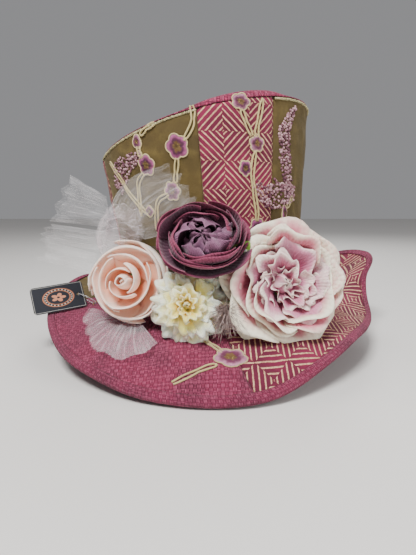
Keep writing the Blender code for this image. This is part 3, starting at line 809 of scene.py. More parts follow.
def build_crown():
    rows = np.linspace(0, 1, 76)
    for name, start, end, finish in CROWN_PANELS:
        columns = panel_columns(start, end, CROWN_GAP, 1.1)
        hat_layer("cloth_" + name, name, crown, columns, rows, CLOTH, finish, skin=crown_skin)
    flat_rows = np.concatenate([np.linspace(0.0, 0.88, 24), [TIP_FLAT]])
    # The cloth closes on a hole too small to see, where its quads would shrink to nothing.
    flat_rows[0] = TIP_HOLE
    tip_rows = np.concatenate([flat_rows, np.linspace(TIP_FLAT, 1.0, 12)[1:]])
    whole = np.linspace(0, 360, 241)
    for name, node, surface, rows, layer, finish in (
        ("crown_buckram", "crown_stiffener", crown, np.linspace(0.02, 0.98, 12), STIFFENER, "buckram"),
        ("crown_inner_satin", "crown_lining", crown, np.linspace(0, 1, 40), CROWN_LINING, "satin"),
        ("sweatband_ribbon", "sweatband", sweat_wall, np.linspace(0, 1, 12), SWEATBAND, "grosgrain"),
        ("tip_cloth", "tip_cover", tip, tip_rows, CLOTH, "tweed"),
        ("tip_buckram", "tip_stiffener", tip, flat_rows, TIP_STIFFENER, "buckram"),
        ("tip_inner_satin", "tip_lining", tip, flat_rows, TIP_LINING, "satin"),
    ):
        hat_layer(name, node, surface, whole, rows, layer, finish)


def build_velvet_edge_sheen():
    """A pale cord along the velvet's top edge at the crown's rim: painted sheen where the velvet catches the
    light.
    """
    tubes = Tubes()
    for _, start, end, finish in CROWN_PANELS:
        if finish != "olive_velvet":
            continue
        azimuth = np.linspace(start + 0.4, end - 0.4, int((end - start) * 6))
        lift = 0.0002 + draw.uniform(-0.0003, 0.0003, len(azimuth))
        share = 0.992 + draw.uniform(-0.002, 0.002, len(azimuth))
        line = below(crown, azimuth, share, -lift)
        tubes.add(line, draw.uniform(0.0007, 0.0011, len(azimuth)), sides=6)
    finishing(tubes.make("velvet_edge_sheen", "nap_sheen"), "hat", "olive_velvet")


def build_brim():
    rows = np.linspace(BRIM_INNER, BRIM_OUTER, 44)
    for name, start, end, finish in BRIM_PANELS:
        columns = panel_columns(start, end, BRIM_GAP, 1.2)
        look = "jacquard_brim" if finish == "jacquard" else finish
        hat_layer("cloth_" + name, name, brim, columns, rows, CLOTH, look, finish, brim_skin)
    whole = np.linspace(0, 360, 301)
    hat_layer("brim_buckram", "brim_stiffener", brim, whole, rows[::2], STIFFENER, "buckram")
    hat_layer("underside_cloth", "brim_underside", brim, whole, rows, UNDERSIDE, "tweed_underside", "tweed")
    build_binding()


def edge_point(azimuth, reach, lift):
    """A point by the brim's edge: reach runs outwards from the cut edge, lift runs up from the upper face."""
    inward = np.minimum(reach, 0)
    outward = np.maximum(reach, 0)
    share = BRIM_OUTER + inward / BRIM_SPAN
    outwards = unit(brim(azimuth, BRIM_OUTER + 0 * share) - brim(azimuth, BRIM_OUTER - 0.02 + 0 * share))
    return below(brim, azimuth, share, -lift) + outwards * outward[..., None]


def build_binding():
    """The bias binding: a puckered strip folded round the brim's edge."""
    radius, middle = (BINDING_TOP - BINDING_BOTTOM) / 2, (BINDING_TOP + BINDING_BOTTOM) / 2
    turn = np.linspace(np.pi / 2, -np.pi / 2, 13)
    flat = np.linspace(-BINDING_SHOW, BINDING_NOSE, 9)[:-1]
    swell = 0.0004 * np.sin(np.linspace(0, np.pi, len(flat)))
    reach = np.concatenate([flat, BINDING_NOSE + radius * 0.94 * np.cos(turn), flat[::-1]])
    lift = np.concatenate([BINDING_TOP + swell, middle + radius * np.sin(turn), BINDING_BOTTOM - swell[::-1]])
    azimuth, along = np.meshgrid(np.linspace(-180, 180, 361)[:-1], reach, indexing="ij")
    rise = np.broadcast_to(lift, azimuth.shape)
    stitched = np.exp(-((along + BINDING_SHOW * 0.8) / 0.0015) ** 2)
    pucker = PUCKER * np.sin(np.radians(azimuth) * PUCKERS_ROUND) * stitched
    points = edge_point(azimuth, along, rise + pucker * np.sign(rise))
    length = np.concatenate([[0], np.cumsum(np.hypot(np.diff(reach), np.diff(lift)))])
    uv = np.stack(np.broadcast_arrays(np.radians(azimuth) * BRIM_EDGE_RADIUS, length), axis=-1)
    made = add_mesh("binding_cloth", points, grid_faces(*azimuth.shape, closed=True), "tweed_binding", uv)
    face_out(made, points - points.mean(axis=1, keepdims=True))
    thicken(made, BINDING_THICKNESS)
    finishing(made, "hat", "tweed", "brim_binding")


# Flowers, petal by petal. In a flower's own frame the face looks along +Z.


class Petals:
    """Petals gathered into one mesh. Every size but the flower's own radius and depth is a share of them."""

    def __init__(self, place, facing, radius, depth, squash=1.0):
        self.place = np.array(place, float)
        self.facing = unit(np.array(facing, float))
        up = unit(np.array([0, 0, 1]) - self.facing * self.facing[2])
        self.up, self.right = up, np.cross(up, self.facing)
        self.radius, self.depth, self.squash = radius, depth, squash
        self.points, self.uv, self.faces = [], [], []

    def add(self, angle, width, foot, lip, bow=0.0, curl=0.0, drop=0.0, rounding=0.25, ruffle=0.0, waves=2.5,
            lean=0.05, flat=0.0, notch=0.0, columns=17, rows=15):
        """One petal round its angle. Foot and lip are (out from the axis, up along it)."""
        s = np.linspace(0, 1, rows)[None, :]
        t = np.linspace(-1, 1, columns)[:, None]
        e = s * (1 - rounding * np.abs(t) ** 2.4 - notch * np.exp(-((t / 0.22) ** 2)))
        half = np.radians(width) * (0.42 + 0.58 * np.sin(np.clip(e * 1.35, 0, 1) * np.pi / 2))
        theta = np.radians(angle) + t * half
        phase, second = draw.uniform(0, 2 * np.pi, 2)
        rim = np.clip((e - 0.70) / 0.30, 0, 1) ** 2
        r = foot[0] + (lip[0] - foot[0]) * e**0.85 + bow * np.sin(np.pi * e)
        z = foot[1] + (lip[1] - foot[1]) * e
        r = r + curl * rim + ruffle * e**2 * np.sin(waves * t * np.pi + phase)
        z = z - drop * rim + ruffle * 0.8 * e**2 * np.cos(waves * 0.8 * t * np.pi + second)
        r = r * (1 + lean * t) * (1 + flat * (1 / np.cos(np.clip(t * half, -1.1, 1.1)) - 1))
        x = r * np.cos(theta) * self.radius
        y = r * np.sin(theta) * self.radius * self.squash
        points = self.place + x[..., None] * self.right + y[..., None] * self.up
        points = points + (z * self.depth)[..., None] * self.facing
        across = len(self.points) + 0.01 + 0.98 * (t + 1) / 2
        start = sum(len(petal) for petal in self.points)
        self.points.append(points.reshape(-1, 3))
        self.uv.append(np.stack(np.broadcast_arrays(across, s), axis=-1).reshape(-1, 2))
        self.faces.append(grid_faces(columns, rows, start))

    def ring(self, count, start, width, foot, lip, wander=0.05, **more):
        """Petals all the way round, each one a little different."""
        for i in range(count):
            angle = start + 360 * i / count + draw.uniform(-1, 1) * wander * 900 / count
            shift = 1 + draw.uniform(-wander, wander)
            tilt = lip[1] + draw.uniform(-wander, wander) * 1.6
            self.add(angle, width * draw.uniform(0.88, 1.16), foot, (lip[0] * shift, tilt), **more)

    def make(self, name, finish, slot, node, thickness=0.0004):
        made = add_mesh(name, np.vstack(self.points), np.vstack(self.faces), finish, np.vstack(self.uv))
        thicken(made, thickness, 0.0)
        finishing(made, "hat", slot, node)


# Each flower: its place, where its face looks, its radius and its depth.
GARDEN_ROSE = ((0.063, -0.139, 0.042), (0.24, -0.94, 0.24), 0.047, 0.040)
PEONY = ((-0.012, -0.144, 0.083), (-0.05, -0.86, 0.50), 0.0365, 0.026, 0.86)
FOAM_ROSE = ((-0.082, -0.126, 0.040), (-0.22, -0.95, 0.20), 0.0305, 0.030)
CARNATION = ((-0.024, -0.142, 0.023), (-0.05, -0.96, 0.25), 0.030, 0.024)


def build_garden_rose():
    wavy = {"ruffle": 0.062, "waves": 1.9, "rounding": 0.26, "lean": 0.12, "wander": 0.10}
    outer = Petals(*GARDEN_ROSE)
    outer.ring(5, 20, 50, (0.22, -0.90), (1.06, -0.44), curl=0.10, drop=0.14, bow=0.06, **wavy)
    outer.ring(5, 60, 50, (0.22, -0.82), (1.02, -0.16), curl=0.09, drop=0.16, bow=0.10, **wavy)
    outer.make("garden_rose_guard_petals", "garden_rose_outer", "garden_rose", "garden_rose_outer_petals")
    middle = Petals(*GARDEN_ROSE)
    middle.ring(5, 5, 48, (0.20, -0.80), (0.92, 0.06), curl=0.07, drop=0.14, bow=0.12, **wavy)
    middle.ring(4, 50, 52, (0.18, -0.78), (0.78, 0.04), curl=0.05, drop=0.10, bow=0.12, **wavy)
    middle.make("garden_rose_main_petals", "garden_rose_outer", "garden_rose", "garden_rose_middle_petals")
    inner = Petals(*GARDEN_ROSE)
    wavy = {"ruffle": 0.085, "waves": 2.1, "rounding": 0.24, "lean": 0.20, "wander": 0.12}
    inner.ring(5, 12, 46, (0.18, -0.64), (0.68, -0.10), curl=0.06, drop=0.12, bow=0.06, **wavy)
    inner.ring(5, 50, 44, (0.14, -0.60), (0.54, -0.16), curl=0.05, drop=0.10, bow=0.06, **wavy)
    inner.make("garden_rose_inner_ruffles", "garden_rose_inner", "garden_rose", "garden_rose_inner_petals")
    heart = Petals(*GARDEN_ROSE)
    wavy = {"ruffle": 0.080, "waves": 2.2, "rounding": 0.22, "lean": 0.26, "wander": 0.13}
    heart.ring(5, 0, 48, (0.08, -0.60), (0.40, -0.20), curl=0.04, drop=0.05, bow=0.05, **wavy)
    heart.ring(4, 30, 56, (0.03, -0.58), (0.25, -0.24), bow=0.03, **wavy)
    heart.ring(4, 70, 62, (0.20, -0.56), (0.02, -0.22), rounding=0.2, ruffle=0.06, waves=1.5, bow=0.05)
    heart.make("garden_rose_heart_petals", "garden_rose_inner", "garden_rose", "garden_rose_heart")


def build_peony():
    broad = {"rounding": 0.22, "lean": 0.10, "wander": 0.06, "waves": 1.5}
    outer = Petals(*PEONY)
    outer.ring(5, 10, 52, (0.28, -0.98), (1.02, -0.42), bow=0.20, curl=0.08, drop=0.10, ruffle=0.035, **broad)
    outer.ring(5, 45, 52, (0.26, -0.94), (0.94, -0.05), bow=0.20, curl=0.02, drop=0.04, ruffle=0.030, **broad)
    outer.make("peony_guard_petals", "peony_outer", "peony", "peony_outer_petals", 0.0005)
    middle = Petals(*PEONY)
    middle.ring(5, 75, 50, (0.24, -0.90), (0.84, 0.10), bow=0.20, curl=-0.05, ruffle=0.030, **broad)
    middle.ring(4, 20, 52, (0.22, -0.86), (0.70, 0.02), bow=0.18, curl=-0.08, ruffle=0.040, **broad)
    middle.make("peony_bowl_petals", "peony_outer", "peony", "peony_middle_petals", 0.0005)
    heart = Petals(*PEONY)
    puffed = {"rounding": 0.30, "lean": 0.20, "wander": 0.15, "waves": 1.9}
    heart.ring(6, 0, 38, (0.50, -0.84), (0.48, -0.08), bow=0.12, curl=-0.15, ruffle=0.070, **puffed)
    heart.ring(6, 26, 38, (0.38, -0.80), (0.33, -0.10), bow=0.12, curl=-0.13, ruffle=0.070, **puffed)
    heart.ring(5, 50, 44, (0.24, -0.76), (0.17, -0.13), bow=0.10, curl=-0.10, ruffle=0.060, **puffed)
    heart.ring(3, 10, 70, (0.14, -0.70), (0.04, -0.20), bow=0.06, curl=-0.04, ruffle=0.040, **puffed)
    heart.make("peony_heart_petals", "peony_inner", "peony", "peony_heart", 0.0005)


def build_foam_rose():
    plain = {"flat": 0.10, "rounding": 0.26, "lean": 0.07, "wander": 0.045, "ruffle": 0.016, "waves": 0.8}
    outer = Petals(*FOAM_ROSE)
    outer.ring(4, 48, 62, (0.30, -0.95), (1.08, -0.50), curl=0.10, drop=0.28, bow=0.24, **plain)
    outer.ring(3, 5, 78, (0.28, -0.90), (0.96, -0.16), curl=0.10, drop=0.26, bow=0.24, **plain)
    outer.make("foam_rose_guard_petals", "foam_rose", "foam_rose", "foam_rose_outer_petals", 0.0007)
    middle = Petals(*FOAM_ROSE)
    middle.ring(3, 65, 76, (0.26, -0.85), (0.70, 0.10), curl=0.10, drop=0.20, bow=0.18, **plain)
    middle.make("foam_rose_main_petals", "foam_rose", "foam_rose", "foam_rose_middle_petals", 0.0007)
    heart = Petals(*FOAM_ROSE)
    rolled = {"rounding": 0.20, "wander": 0.05, "ruffle": 0.012, "waves": 0.8}
    heart.ring(3, 20, 80, (0.24, -0.75), (0.38, 0.12), bow=0.14, curl=0.03, drop=0.08, lean=0.20, **rolled)
    heart.ring(2, 70, 110, (0.18, -0.66), (0.12, 0.10), bow=0.07, lean=0.24, **rolled)
    heart.ring(3, 10, 72, (0.14, -0.60), (0.01, 0.02), bow=0.05, **rolled)
    heart.make("foam_rose_heart_petals", "foam_rose", "foam_rose", "foam_rose_heart", 0.0007)


def build_carnation():
    frill = {"notch": 0.06, "waves": 3.1, "columns": 23, "rows": 11, "lean": 0.12, "wander": 0.12}
    frill["rounding"] = 0.30
    round_petals = {"columns": 15, "rows": 10, "wander": 0.06, "waves": 1.3, "rounding": 0.34}
    outer = Petals(*CARNATION)
    outer.ring(8, 6, 30, (0.30, -0.60), (1.12, -0.78), curl=0.03, drop=0.08, ruffle=0.040, **round_petals)
    outer.ring(7, 24, 34, (0.25, -0.40), (1.02, -0.46), curl=0.05, drop=0.14, ruffle=0.085, **frill)
    outer.ring(7, 0, 34, (0.22, -0.22), (0.88, -0.20), curl=0.05, drop=0.14, ruffle=0.10, **frill)
    outer.make("carnation_guard_petals", "carnation", "carnation", "carnation_outer_petals")
    heart = Petals(*CARNATION)
    frill.update(waves=2.4, rounding=0.36, notch=0.04, lean=0.20, wander=0.16)
    heart.ring(6, 20, 38, (0.18, -0.08), (0.72, 0.00), curl=0.05, drop=0.12, ruffle=0.075, **frill)
    heart.ring(5, 0, 46, (0.14, 0.00), (0.56, 0.12), curl=0.05, drop=0.10, ruffle=0.080, **frill)
    heart.ring(5, 30, 48, (0.12, 0.04), (0.42, 0.22), curl=0.04, drop=0.08, ruffle=0.080, **frill)
    heart.ring(4, 10, 58, (0.10, 0.06), (0.26, 0.30), curl=0.02, drop=0.04, ruffle=0.070, **frill)
    heart.ring(3, 50, 76, (0.12, 0.06), (0.04, 0.32), ruffle=0.04, **frill)
    heart.ring(3, 90, 84, (0.14, 0.08), (0.0, 0.27), rounding=0.1)
    heart.make("carnation_heart_petals", "carnation_heart", "carnation", "carnation_heart")


# Corded lace, drawn over the cloth.


def on_crown(azimuth, height, lift):
    share = share_at(azimuth, height)
    return below(crown, azimuth, share, -(lift + crown_skin(azimuth, share)))


def on_brim(azimuth, share, lift):
    return below(brim, azimuth, share, -(lift + brim_skin(azimuth, share)))


def on_brim_near(centre, x, y, lift):
    """A point on the brim from metres round (x) and outwards (y) of a centre in (azimuth, share)."""
    return on_brim(centre[0] + np.degrees(x / BRIM_MEAN_RADIUS), centre[1] + y / BRIM_SPAN, lift)


def on_crown_near(centre, x, y, lift):
    """A point on the crown from metres round (x) and up (y) of a centre in (azimuth, height)."""
    azimuth = centre[0] + np.degrees(x / LACE_RADIUS)
    return on_crown(azimuth, centre[1] + y, lift)


def double_cord(tubes, surface_near, centre, knots, gap=0.0017):
    """Two cords side by side along a stem, that part and meet again. Knots are metres from the centre."""
    line = through(knots, 44)
    ahead = unit(np.gradient(line, axis=0))
    side = np.stack([-ahead[:, 1], ahead[:, 0]], axis=-1)
    share = np.linspace(0, 1, len(line))
    opening = gap * (0.62 + 0.38 * np.abs(np.sin(share * np.pi * 2))) * np.clip(share * 12, 0.35, 1)
    for sign in (-1, 1):
        path = line + side * (sign * opening)[:, None]
        tubes.add(surface_near(centre, path[:, 0], path[:, 1], CORD_RADIUS * 0.9), CORD_RADIUS)


def lobed(turn, size, lobes, spin):
    return size * (0.80 + 0.20 * np.abs(np.cos((turn - spin) * lobes / 2)))


def blossom(parts, tubes, surface_near, centre, size, lobes, spin, stretch):
    """An embroidered blossom: a low lobed mound, with a cord round it."""
    turns = np.linspace(0, 2 * np.pi, 61)[:-1]
    rings = np.linspace(0.02, 1, 9)
    turn, ring = np.meshgrid(turns, rings, indexing="ij")
    out = lobed(turn, size, lobes, spin) * ring
    ridge = 0.45 + 0.55 * np.abs(np.cos((turn - spin) * lobes / 2))
    lift = BLOSSOM_RISE * np.sin(ring * np.pi) ** 0.6 * ridge + 0.0004
    points = surface_near(centre, out * np.cos(turn) * stretch[0], out * np.sin(turn) * stretch[1], lift)
    start = sum(len(earlier) for earlier, _, _ in parts)
    uv = np.stack([turn / (2 * np.pi), ring], axis=-1)
    parts.append((points.reshape(-1, 3), grid_faces(*turn.shape, start, closed=True), uv.reshape(-1, 2)))
    edge = lobed(turns, size * 1.04, lobes, spin)
    x, y = edge * np.cos(turns) * stretch[0], edge * np.sin(turns) * stretch[1]
    tubes.add(surface_near(centre, x, y, 0.0005), OUTLINE_RADIUS, closed=True)


def bead_template():
    """A small dome's points, for a radius of 1, and its faces."""
    sides = 8
    turns = np.linspace(0, 2 * np.pi, sides, endpoint=False)
    points = [[0, 0, 1]]
    for tilt in np.linspace(0, np.pi / 2, 4)[1:]:
        points += [[np.sin(tilt) * np.cos(turn), np.sin(tilt) * np.sin(turn), np.cos(tilt)] for turn in turns]
    faces = [[0, 1 + i, 1 + (i + 1) % sides] for i in range(sides)]
    for a in (1, 1 + sides):
        b = a + sides
        faces += [[a + i, b + i, b + (i + 1) % sides, a + (i + 1) % sides] for i in range(sides)]
    return np.array(points), faces


def beads(name, surface_near, centre, places, sizes, finish, slot):
    """Small sewn knots, one at each (x, y) place."""
    template, pattern = bead_template()
    x, y = np.asarray(places, float).T
    step = 0.0005
    ground = surface_near(centre, x, y, BEAD_LIFT)
    ahead = unit(surface_near(centre, x + step, y, BEAD_LIFT) - ground)
    beside = unit(surface_near(centre, x, y + step, BEAD_LIFT) - ground)
    out = unit(np.cross(ahead, beside))
    outwards = [0.05, -1, 0.1] if surface_near is on_crown_near else [0, 0, 1]
    out = out * np.sign((out * outwards).sum(axis=1, keepdims=True))
    points, faces = [], []
    for i, size in enumerate(np.broadcast_to(sizes, x.shape)):
        local = template * size * [1, 1, 1.1]
        points.append(ground[i] + local @ np.array([ahead[i], beside[i], out[i]]))
        faces += [[corner + i * len(template) for corner in face] for face in pattern]
    finishing(add_mesh(name, np.vstack(points), faces, finish), "hat", slot)


def spray(knots, widths, count, seed):
    """Places scattered along a line, within a width that changes along it."""
    scatter = np.random.default_rng(seed)
    line = through(knots, 60)
    share = scatter.uniform(0, 1, count * 3)
    width = np.interp(share, np.linspace(0, 1, len(widths)), widths)
    away = scatter.uniform(-1, 1, len(share))
    index = (share * 59).astype(int)
    ahead = unit(np.gradient(line, axis=0))[index]
    side = np.stack([-ahead[:, 1], ahead[:, 0]], axis=-1)
    places = line[index] + side * (away * width)[:, None] + scatter.uniform(-0.0006, 0.0006, (len(share), 2))
    kept = []
    for place in places:
        if all(np.hypot(*(place - other)) > 0.0018 for other in kept):
            kept.append(place)
        if len(kept) == count:
            break
    return np.array(kept)


def from_angles(pairs, centre):
    """(azimuth, height) pairs on the crown as metres from a centre."""
    azimuth, height = np.array(pairs, float).T
    return np.stack([np.radians(azimuth - centre[0]) * LACE_RADIUS, height - centre[1]], axis=-1)


def from_shares(pairs, centre):
    """(azimuth, share) pairs on the brim as metres from a centre."""
    azimuth, share = np.array(pairs, float).T
    round_by = np.radians(azimuth - centre[0]) * BRIM_MEAN_RADIUS
    return np.stack([round_by, (share - centre[1]) * BRIM_SPAN], axis=-1)


CORD_RADIUS = 0.00085
OUTLINE_RADIUS = 0.00062
BLOSSOM_RISE = 0.0014
BEAD_LIFT = 0.0002
# Stems as (azimuth, height) knots on the crown, by the node that each group stands for.
CROWN_STEMS = {
    "lace_vine_centre_left": [
        [(-27, 0.080), (-26, 0.095), (-24, 0.108), (-18, 0.114)],
        [(-14, 0.123), (-13, 0.132), (-11.5, 0.144)],
        [(-7.5, 0.158), (-3.5, 0.170), (-2.6, 0.180), (-3.0, 0.186)],
    ],
    "lace_vine_left": [
        [(-36, 0.094), (-35.5, 0.110), (-34, 0.124), (-30, 0.132)],
        [(-29.5, 0.146), (-30.5, 0.151), (-30.5, 0.155)],
        [(-28.5, 0.164), (-25, 0.169), (-20.5, 0.173)],
        [(-30, 0.094), (-42, 0.114), (-47, 0.128), (-55, 0.144)],
    ],
    "lace_vine_middle": [
        [(18.5, 0.184), (20.5, 0.174), (23.5, 0.163)],
        [(29, 0.194), (27.5, 0.180), (26, 0.168), (26.5, 0.162)],
        [(25.5, 0.151), (24.2, 0.142), (23.6, 0.130), (24.5, 0.116), (26.0, 0.100), (26.0, 0.090)],
    ],
    "lace_vine_right": [
        [(41, 0.082), (43, 0.088), (45, 0.092)],
        [(47, 0.102), (50, 0.106), (53, 0.112)],
    ],
}
# Stems as (azimuth, share) knots on the brim.
BRIM_STEMS = [
    [(-5, 0.30), (-2.5, 0.40), (0, 0.46), (2, 0.52)],
    [(-1, 0.64), (-5, 0.67), (-10, 0.74), (-15, 0.83)],
]
# Blossoms as (node that it stands for, azimuth, height, size, lobes, spin, stretch, pale).
CROWN_BLOSSOMS = [
    ("lace_blossom_centre_left", -11.0, 0.1535, 0.0098, 5, 0.6, (1.0, 1.05), False),
    ("lace_blossom_left", -27.5, 0.139, 0.0080, 5, 0.2, (1.0, 1.12), False),
    (None, -16, 0.1165, 0.0078, 6, 0.0, (0.95, 1.05), True),
    (None, -31, 0.159, 0.0052, 3, 1.4, (0.9, 1.15), True),
    (None, -30, 0.099, 0.0048, 4, 0.0, (1.0, 1.0), True),
    ("lace_blossom_middle", 26, 0.157, 0.0070, 5, 0.3, (1.0, 1.0), True),
    (None, 18.5, 0.190, 0.0074, 5, 0.0, (1.05, 0.9), True),
    (None, 20.0, 0.136, 0.0066, 5, 0.9, (0.9, 1.0), False),
    ("lace_blossom_low", 26.5, 0.083, 0.0092, 6, 0.1, (1.0, 1.05), False),
    (None, 45.5, 0.096, 0.0058, 4, 0.4, (0.7, 1.45), False),
]
BRIM_BLOSSOM = (4.0, 0.575)


def build_lace():
    for node, stems in CROWN_STEMS.items():
        tubes = Tubes()
        for stem in stems:
            double_cord(tubes, on_crown_near, stem[0], from_angles(stem, stem[0]))
        finishing(tubes.make(node.replace("lace", "corded"), "cord"), "hat", "cord", node)
    tubes = Tubes()
    for stem in BRIM_STEMS:
        double_cord(tubes, on_brim_near, stem[0], from_shares(stem, stem[0]), gap=0.0015)
    finishing(tubes.make("corded_vine_brim", "cord"), "hat", "cord", "lace_vine_brim")

    rims = Tubes()
    parts, nodes = {True: [], False: []}, {True: [], False: []}
    for node, azimuth, height, size, lobes, spin, stretch, pale in CROWN_BLOSSOMS:
        blossom(parts[pale], rims, on_crown_near, (azimuth, height), size, lobes, spin, stretch)
        if node:
            nodes[pale].append(node)
    blossom(parts[True], rims, on_brim_near, BRIM_BLOSSOM, 0.0098, 5, 0.5, (1.35, 0.85))
    for pale, name, finish in (
        (False, "embroidered_blossoms", "blossom"),
        (True, "embroidered_pale_blossoms", "blossom_pale"),
    ):
        points, faces, uv = (np.vstack(rows) for rows in zip(*parts[pale]))
        finishing(add_mesh(name, points, faces, finish, uv), "hat", "blossom", *nodes[pale])
    finishing(rims.make("blossom_outlines", "cord_pale"), "hat", "cord")

    hearts = []
    for _, azimuth, height, size, *_ in CROWN_BLOSSOMS:
        for turn in np.linspace(0, 2 * np.pi, 7)[:-1]:
            aside, up = 0.22 * size * np.cos(turn), 0.22 * size * np.sin(turn)
            hearts.append((azimuth + np.degrees(aside / LACE_RADIUS), height + up))
    middle = (0.0, 0.150)
    places = from_angles(hearts, middle)
    beads("blossom_hearts", on_crown_near, middle, places, 0.00085, "gold_thread", "cord")
    ring = [(0.0022 * np.cos(turn), 0.0014 * np.sin(turn)) for turn in np.linspace(0, 2 * np.pi, 8)[:-1]]
    beads("brim_blossom_heart", on_brim_near, BRIM_BLOSSOM, ring, 0.0009, "gold_thread", "cord")
    build_sprays()


# Sprays of knots on the crown: side, centre, least and most bead size, seed of the sizes, and branches.
# A branch is its (azimuth, height) knots, its half widths along them, its number of beads and its seed.
SPRAYS = [
    ("right", (45.0, 0.140), 0.0010, 0.0016, 24, [
        ([(52, 0.192), (47, 0.182), (43.5, 0.168), (44, 0.150), (46, 0.136), (48, 0.124), (50, 0.108)],
         [0.0015, 0.0050, 0.0078, 0.0085, 0.0075, 0.0065, 0.0075], 210, 21),
        ([(24, 0.124), (32, 0.114), (38, 0.112), (46, 0.112), (56, 0.118)],
         [0.003, 0.0095, 0.0125, 0.0105, 0.007], 110, 22),
        ([(30, 0.104), (36, 0.118), (44, 0.126)], [0.004, 0.007, 0.006], 36, 23),
    ]),
    ("left", (-40.0, 0.135), 0.0009, 0.0014, 26, [
        ([(-30, 0.148), (-38, 0.142), (-46, 0.134), (-53, 0.118)], [0.0035, 0.0075, 0.0105, 0.0080], 170, 25),
    ]),
]


def build_sprays():
    """The bobbly sprays: two lilac knots, then a mauve one, close together."""
    for side, centre, least, most, seed, branches in SPRAYS:
        places = np.vstack([spray(from_angles(pairs, centre), *more) for pairs, *more in branches])
        sizes = np.random.default_rng(seed).uniform(least, most, len(places))
        mauve = np.arange(len(places)) % 3 == 0
        for tone, chosen in (("lilac", ~mauve), ("mauve", mauve)):
            name = f"{tone}_spray_{side}"
            beads(name, on_crown_near, centre, places[chosen], sizes[chosen], "bead_" + tone, "blossom")


# Net, feather and leaf.


def saw(x):
    """Sharp folds: -1 to 1 and back over each whole number."""
    return 2 * np.abs(2 * (x - np.floor(x + 0.5))) - 1


def declare_net(made, node):
    """Attaches a net to the hat and hides the CAD node that it stands for."""
    finishing(made, "hat", "tulle", node)


def net(name, node, corners, folds, amplitude, bulge, ragged, seed, belly=0.0):
    """Gathered tulle between two gathered corners and two free ones, folded double along its high edge."""
    a, b, c, d = (np.array(corner, float) for corner in corners)
    waves = np.random.default_rng(seed)
    out = unit(np.cross(b - a, d - a))
    out = out * (-1 if out[1] > 0 else 1)
    u = np.linspace(0, 1, 64)[:, None]
    v = np.linspace(0, 2, 144)[None, :]
    turned = np.where(v <= 1, v, 2 - v)
    behind = np.clip(v - 1, 0, 1)
    shift = waves.uniform(0, 1, 6)
    warp = turned + 0.05 * np.sin(2 * np.pi * (turned * 1.3 + shift[0])) * u + behind * 0.03
    crisp = saw(warp * folds * 0.45 + shift[1] + u * 0.2) * 0.45
    crisp = crisp + saw(warp * folds * 1.1 - u * 0.3 + shift[2]) * 0.16
    crisp = crisp + ripple(u * 0.05, warp * 0.06, 0.035, seed) * 0.9
    jag = saw(v * 3 + shift[3]) * 0.55 + saw(v * 31 + shift[4]) * 0.07 + np.sin(v * 4 + shift[5] * 6) * 0.6
    reach = u * (1 + ragged * jag * u**3 - 0.10 * behind * u)
    low, high = a + (d - a) * reach[..., None], b + (c - b) * reach[..., None]
    spread = 0.5 + (turned - 0.5) * (1 + belly * np.sin(np.pi * np.clip(reach, 0, 1)))
    swell = bulge * np.sin(np.pi * u) * np.sin(np.pi * turned)
    folding = amplitude * (0.35 + 0.65 * u) * crisp
    sink = -0.0022 * behind * (0.4 + 0.6 * np.sin(np.pi * turned))
    points = low + (high - low) * spread[..., None] + (swell + folding + sink)[..., None] * out
    length = np.linalg.norm((c + d - a - b) / 2)
    width = np.linalg.norm((b + c - a - d) / 2)
    uv = np.stack(np.broadcast_arrays(u * length, v * width * 1.3), axis=-1)
    made = add_mesh(name, points, grid_faces(*uv.shape[:2]), "tulle", uv)
    declare_net(made, node)


# Each net: corners (low root, high root, high end, low end), folds, their depth, bulge, raggedness,
# seed and belly.
NETS = {
    "tail_high": (
        [(-0.099, -0.088, 0.084), (-0.100, -0.084, 0.112), (-0.140, -0.060, 0.133), (-0.160, -0.060, 0.088)],
        3.2, 0.0030, 0.005, 0.10, 31,
    ),
    "tail_middle": (
        [(-0.106, -0.090, 0.062), (-0.098, -0.090, 0.080), (-0.160, -0.064, 0.086), (-0.173, -0.064, 0.069)],
        2.4, 0.0022, 0.004, 0.08, 32,
    ),
    "tail_low": (
        [(-0.118, -0.088, 0.040), (-0.110, -0.088, 0.060), (-0.164, -0.062, 0.068), (-0.174, -0.062, 0.050)],
        2.0, 0.0020, 0.003, 0.08, 33,
    ),
    "upper_loop": (
        [(-0.062, -0.121, 0.076), (-0.094, -0.104, 0.100), (-0.045, -0.121, 0.136), (-0.016, -0.121, 0.114)],
        3.2, 0.0032, 0.007, 0.10, 34, 0.55,
    ),
}
BARBS = 420
FEATHER_ROOT = (0.0085, -0.134, 0.017)
LEAF_FOOT = (0.010, -0.128, 0.058)
LEAF_END = (0.0275, -0.134, 0.0745)
KNOT_CENTRE = (-0.088, -0.090, 0.080)
KNOT_LENGTH = 0.046
FAN_LENGTH = 0.045
FAN_ROOT = 0.30


def build_tulle():
    for place, shape in NETS.items():
        net("net_" + place.replace("upper_", ""), "tulle_" + place, *shape)
    build_knot()
    build_fan()


def build_knot():
    """The gathered bunch of net behind the foam rose, from which the tails and the loop spread."""
    turn = np.linspace(0, 2 * np.pi, 60, endpoint=False)[:, None]
    share = np.linspace(0, 1, 40)[None, :]
    puff = 0.0095 + 0.0085 * np.sin(np.pi * share) ** 0.8
    crisp = 1 + 0.16 * saw(turn / (2 * np.pi) * 9 + share * 0.7) + 0.07 * saw(turn / (2 * np.pi) * 17)
    x = puff * crisp * np.cos(turn) * 1.1
    y = puff * crisp * np.sin(turn) * 0.62
    z = (share - 0.5) * KNOT_LENGTH + 0.003 * np.sin(turn * 3)
    points = KNOT_CENTRE + np.stack(np.broadcast_arrays(x + 0.18 * z, y, z), axis=-1)
    uv = np.stack(np.broadcast_arrays(turn * 0.018, share * KNOT_LENGTH), axis=-1)
    made = add_mesh("net_knot", points, grid_faces(*uv.shape[:2], closed=True), "tulle_pink", uv)
    declare_net(made, "tulle_knot")


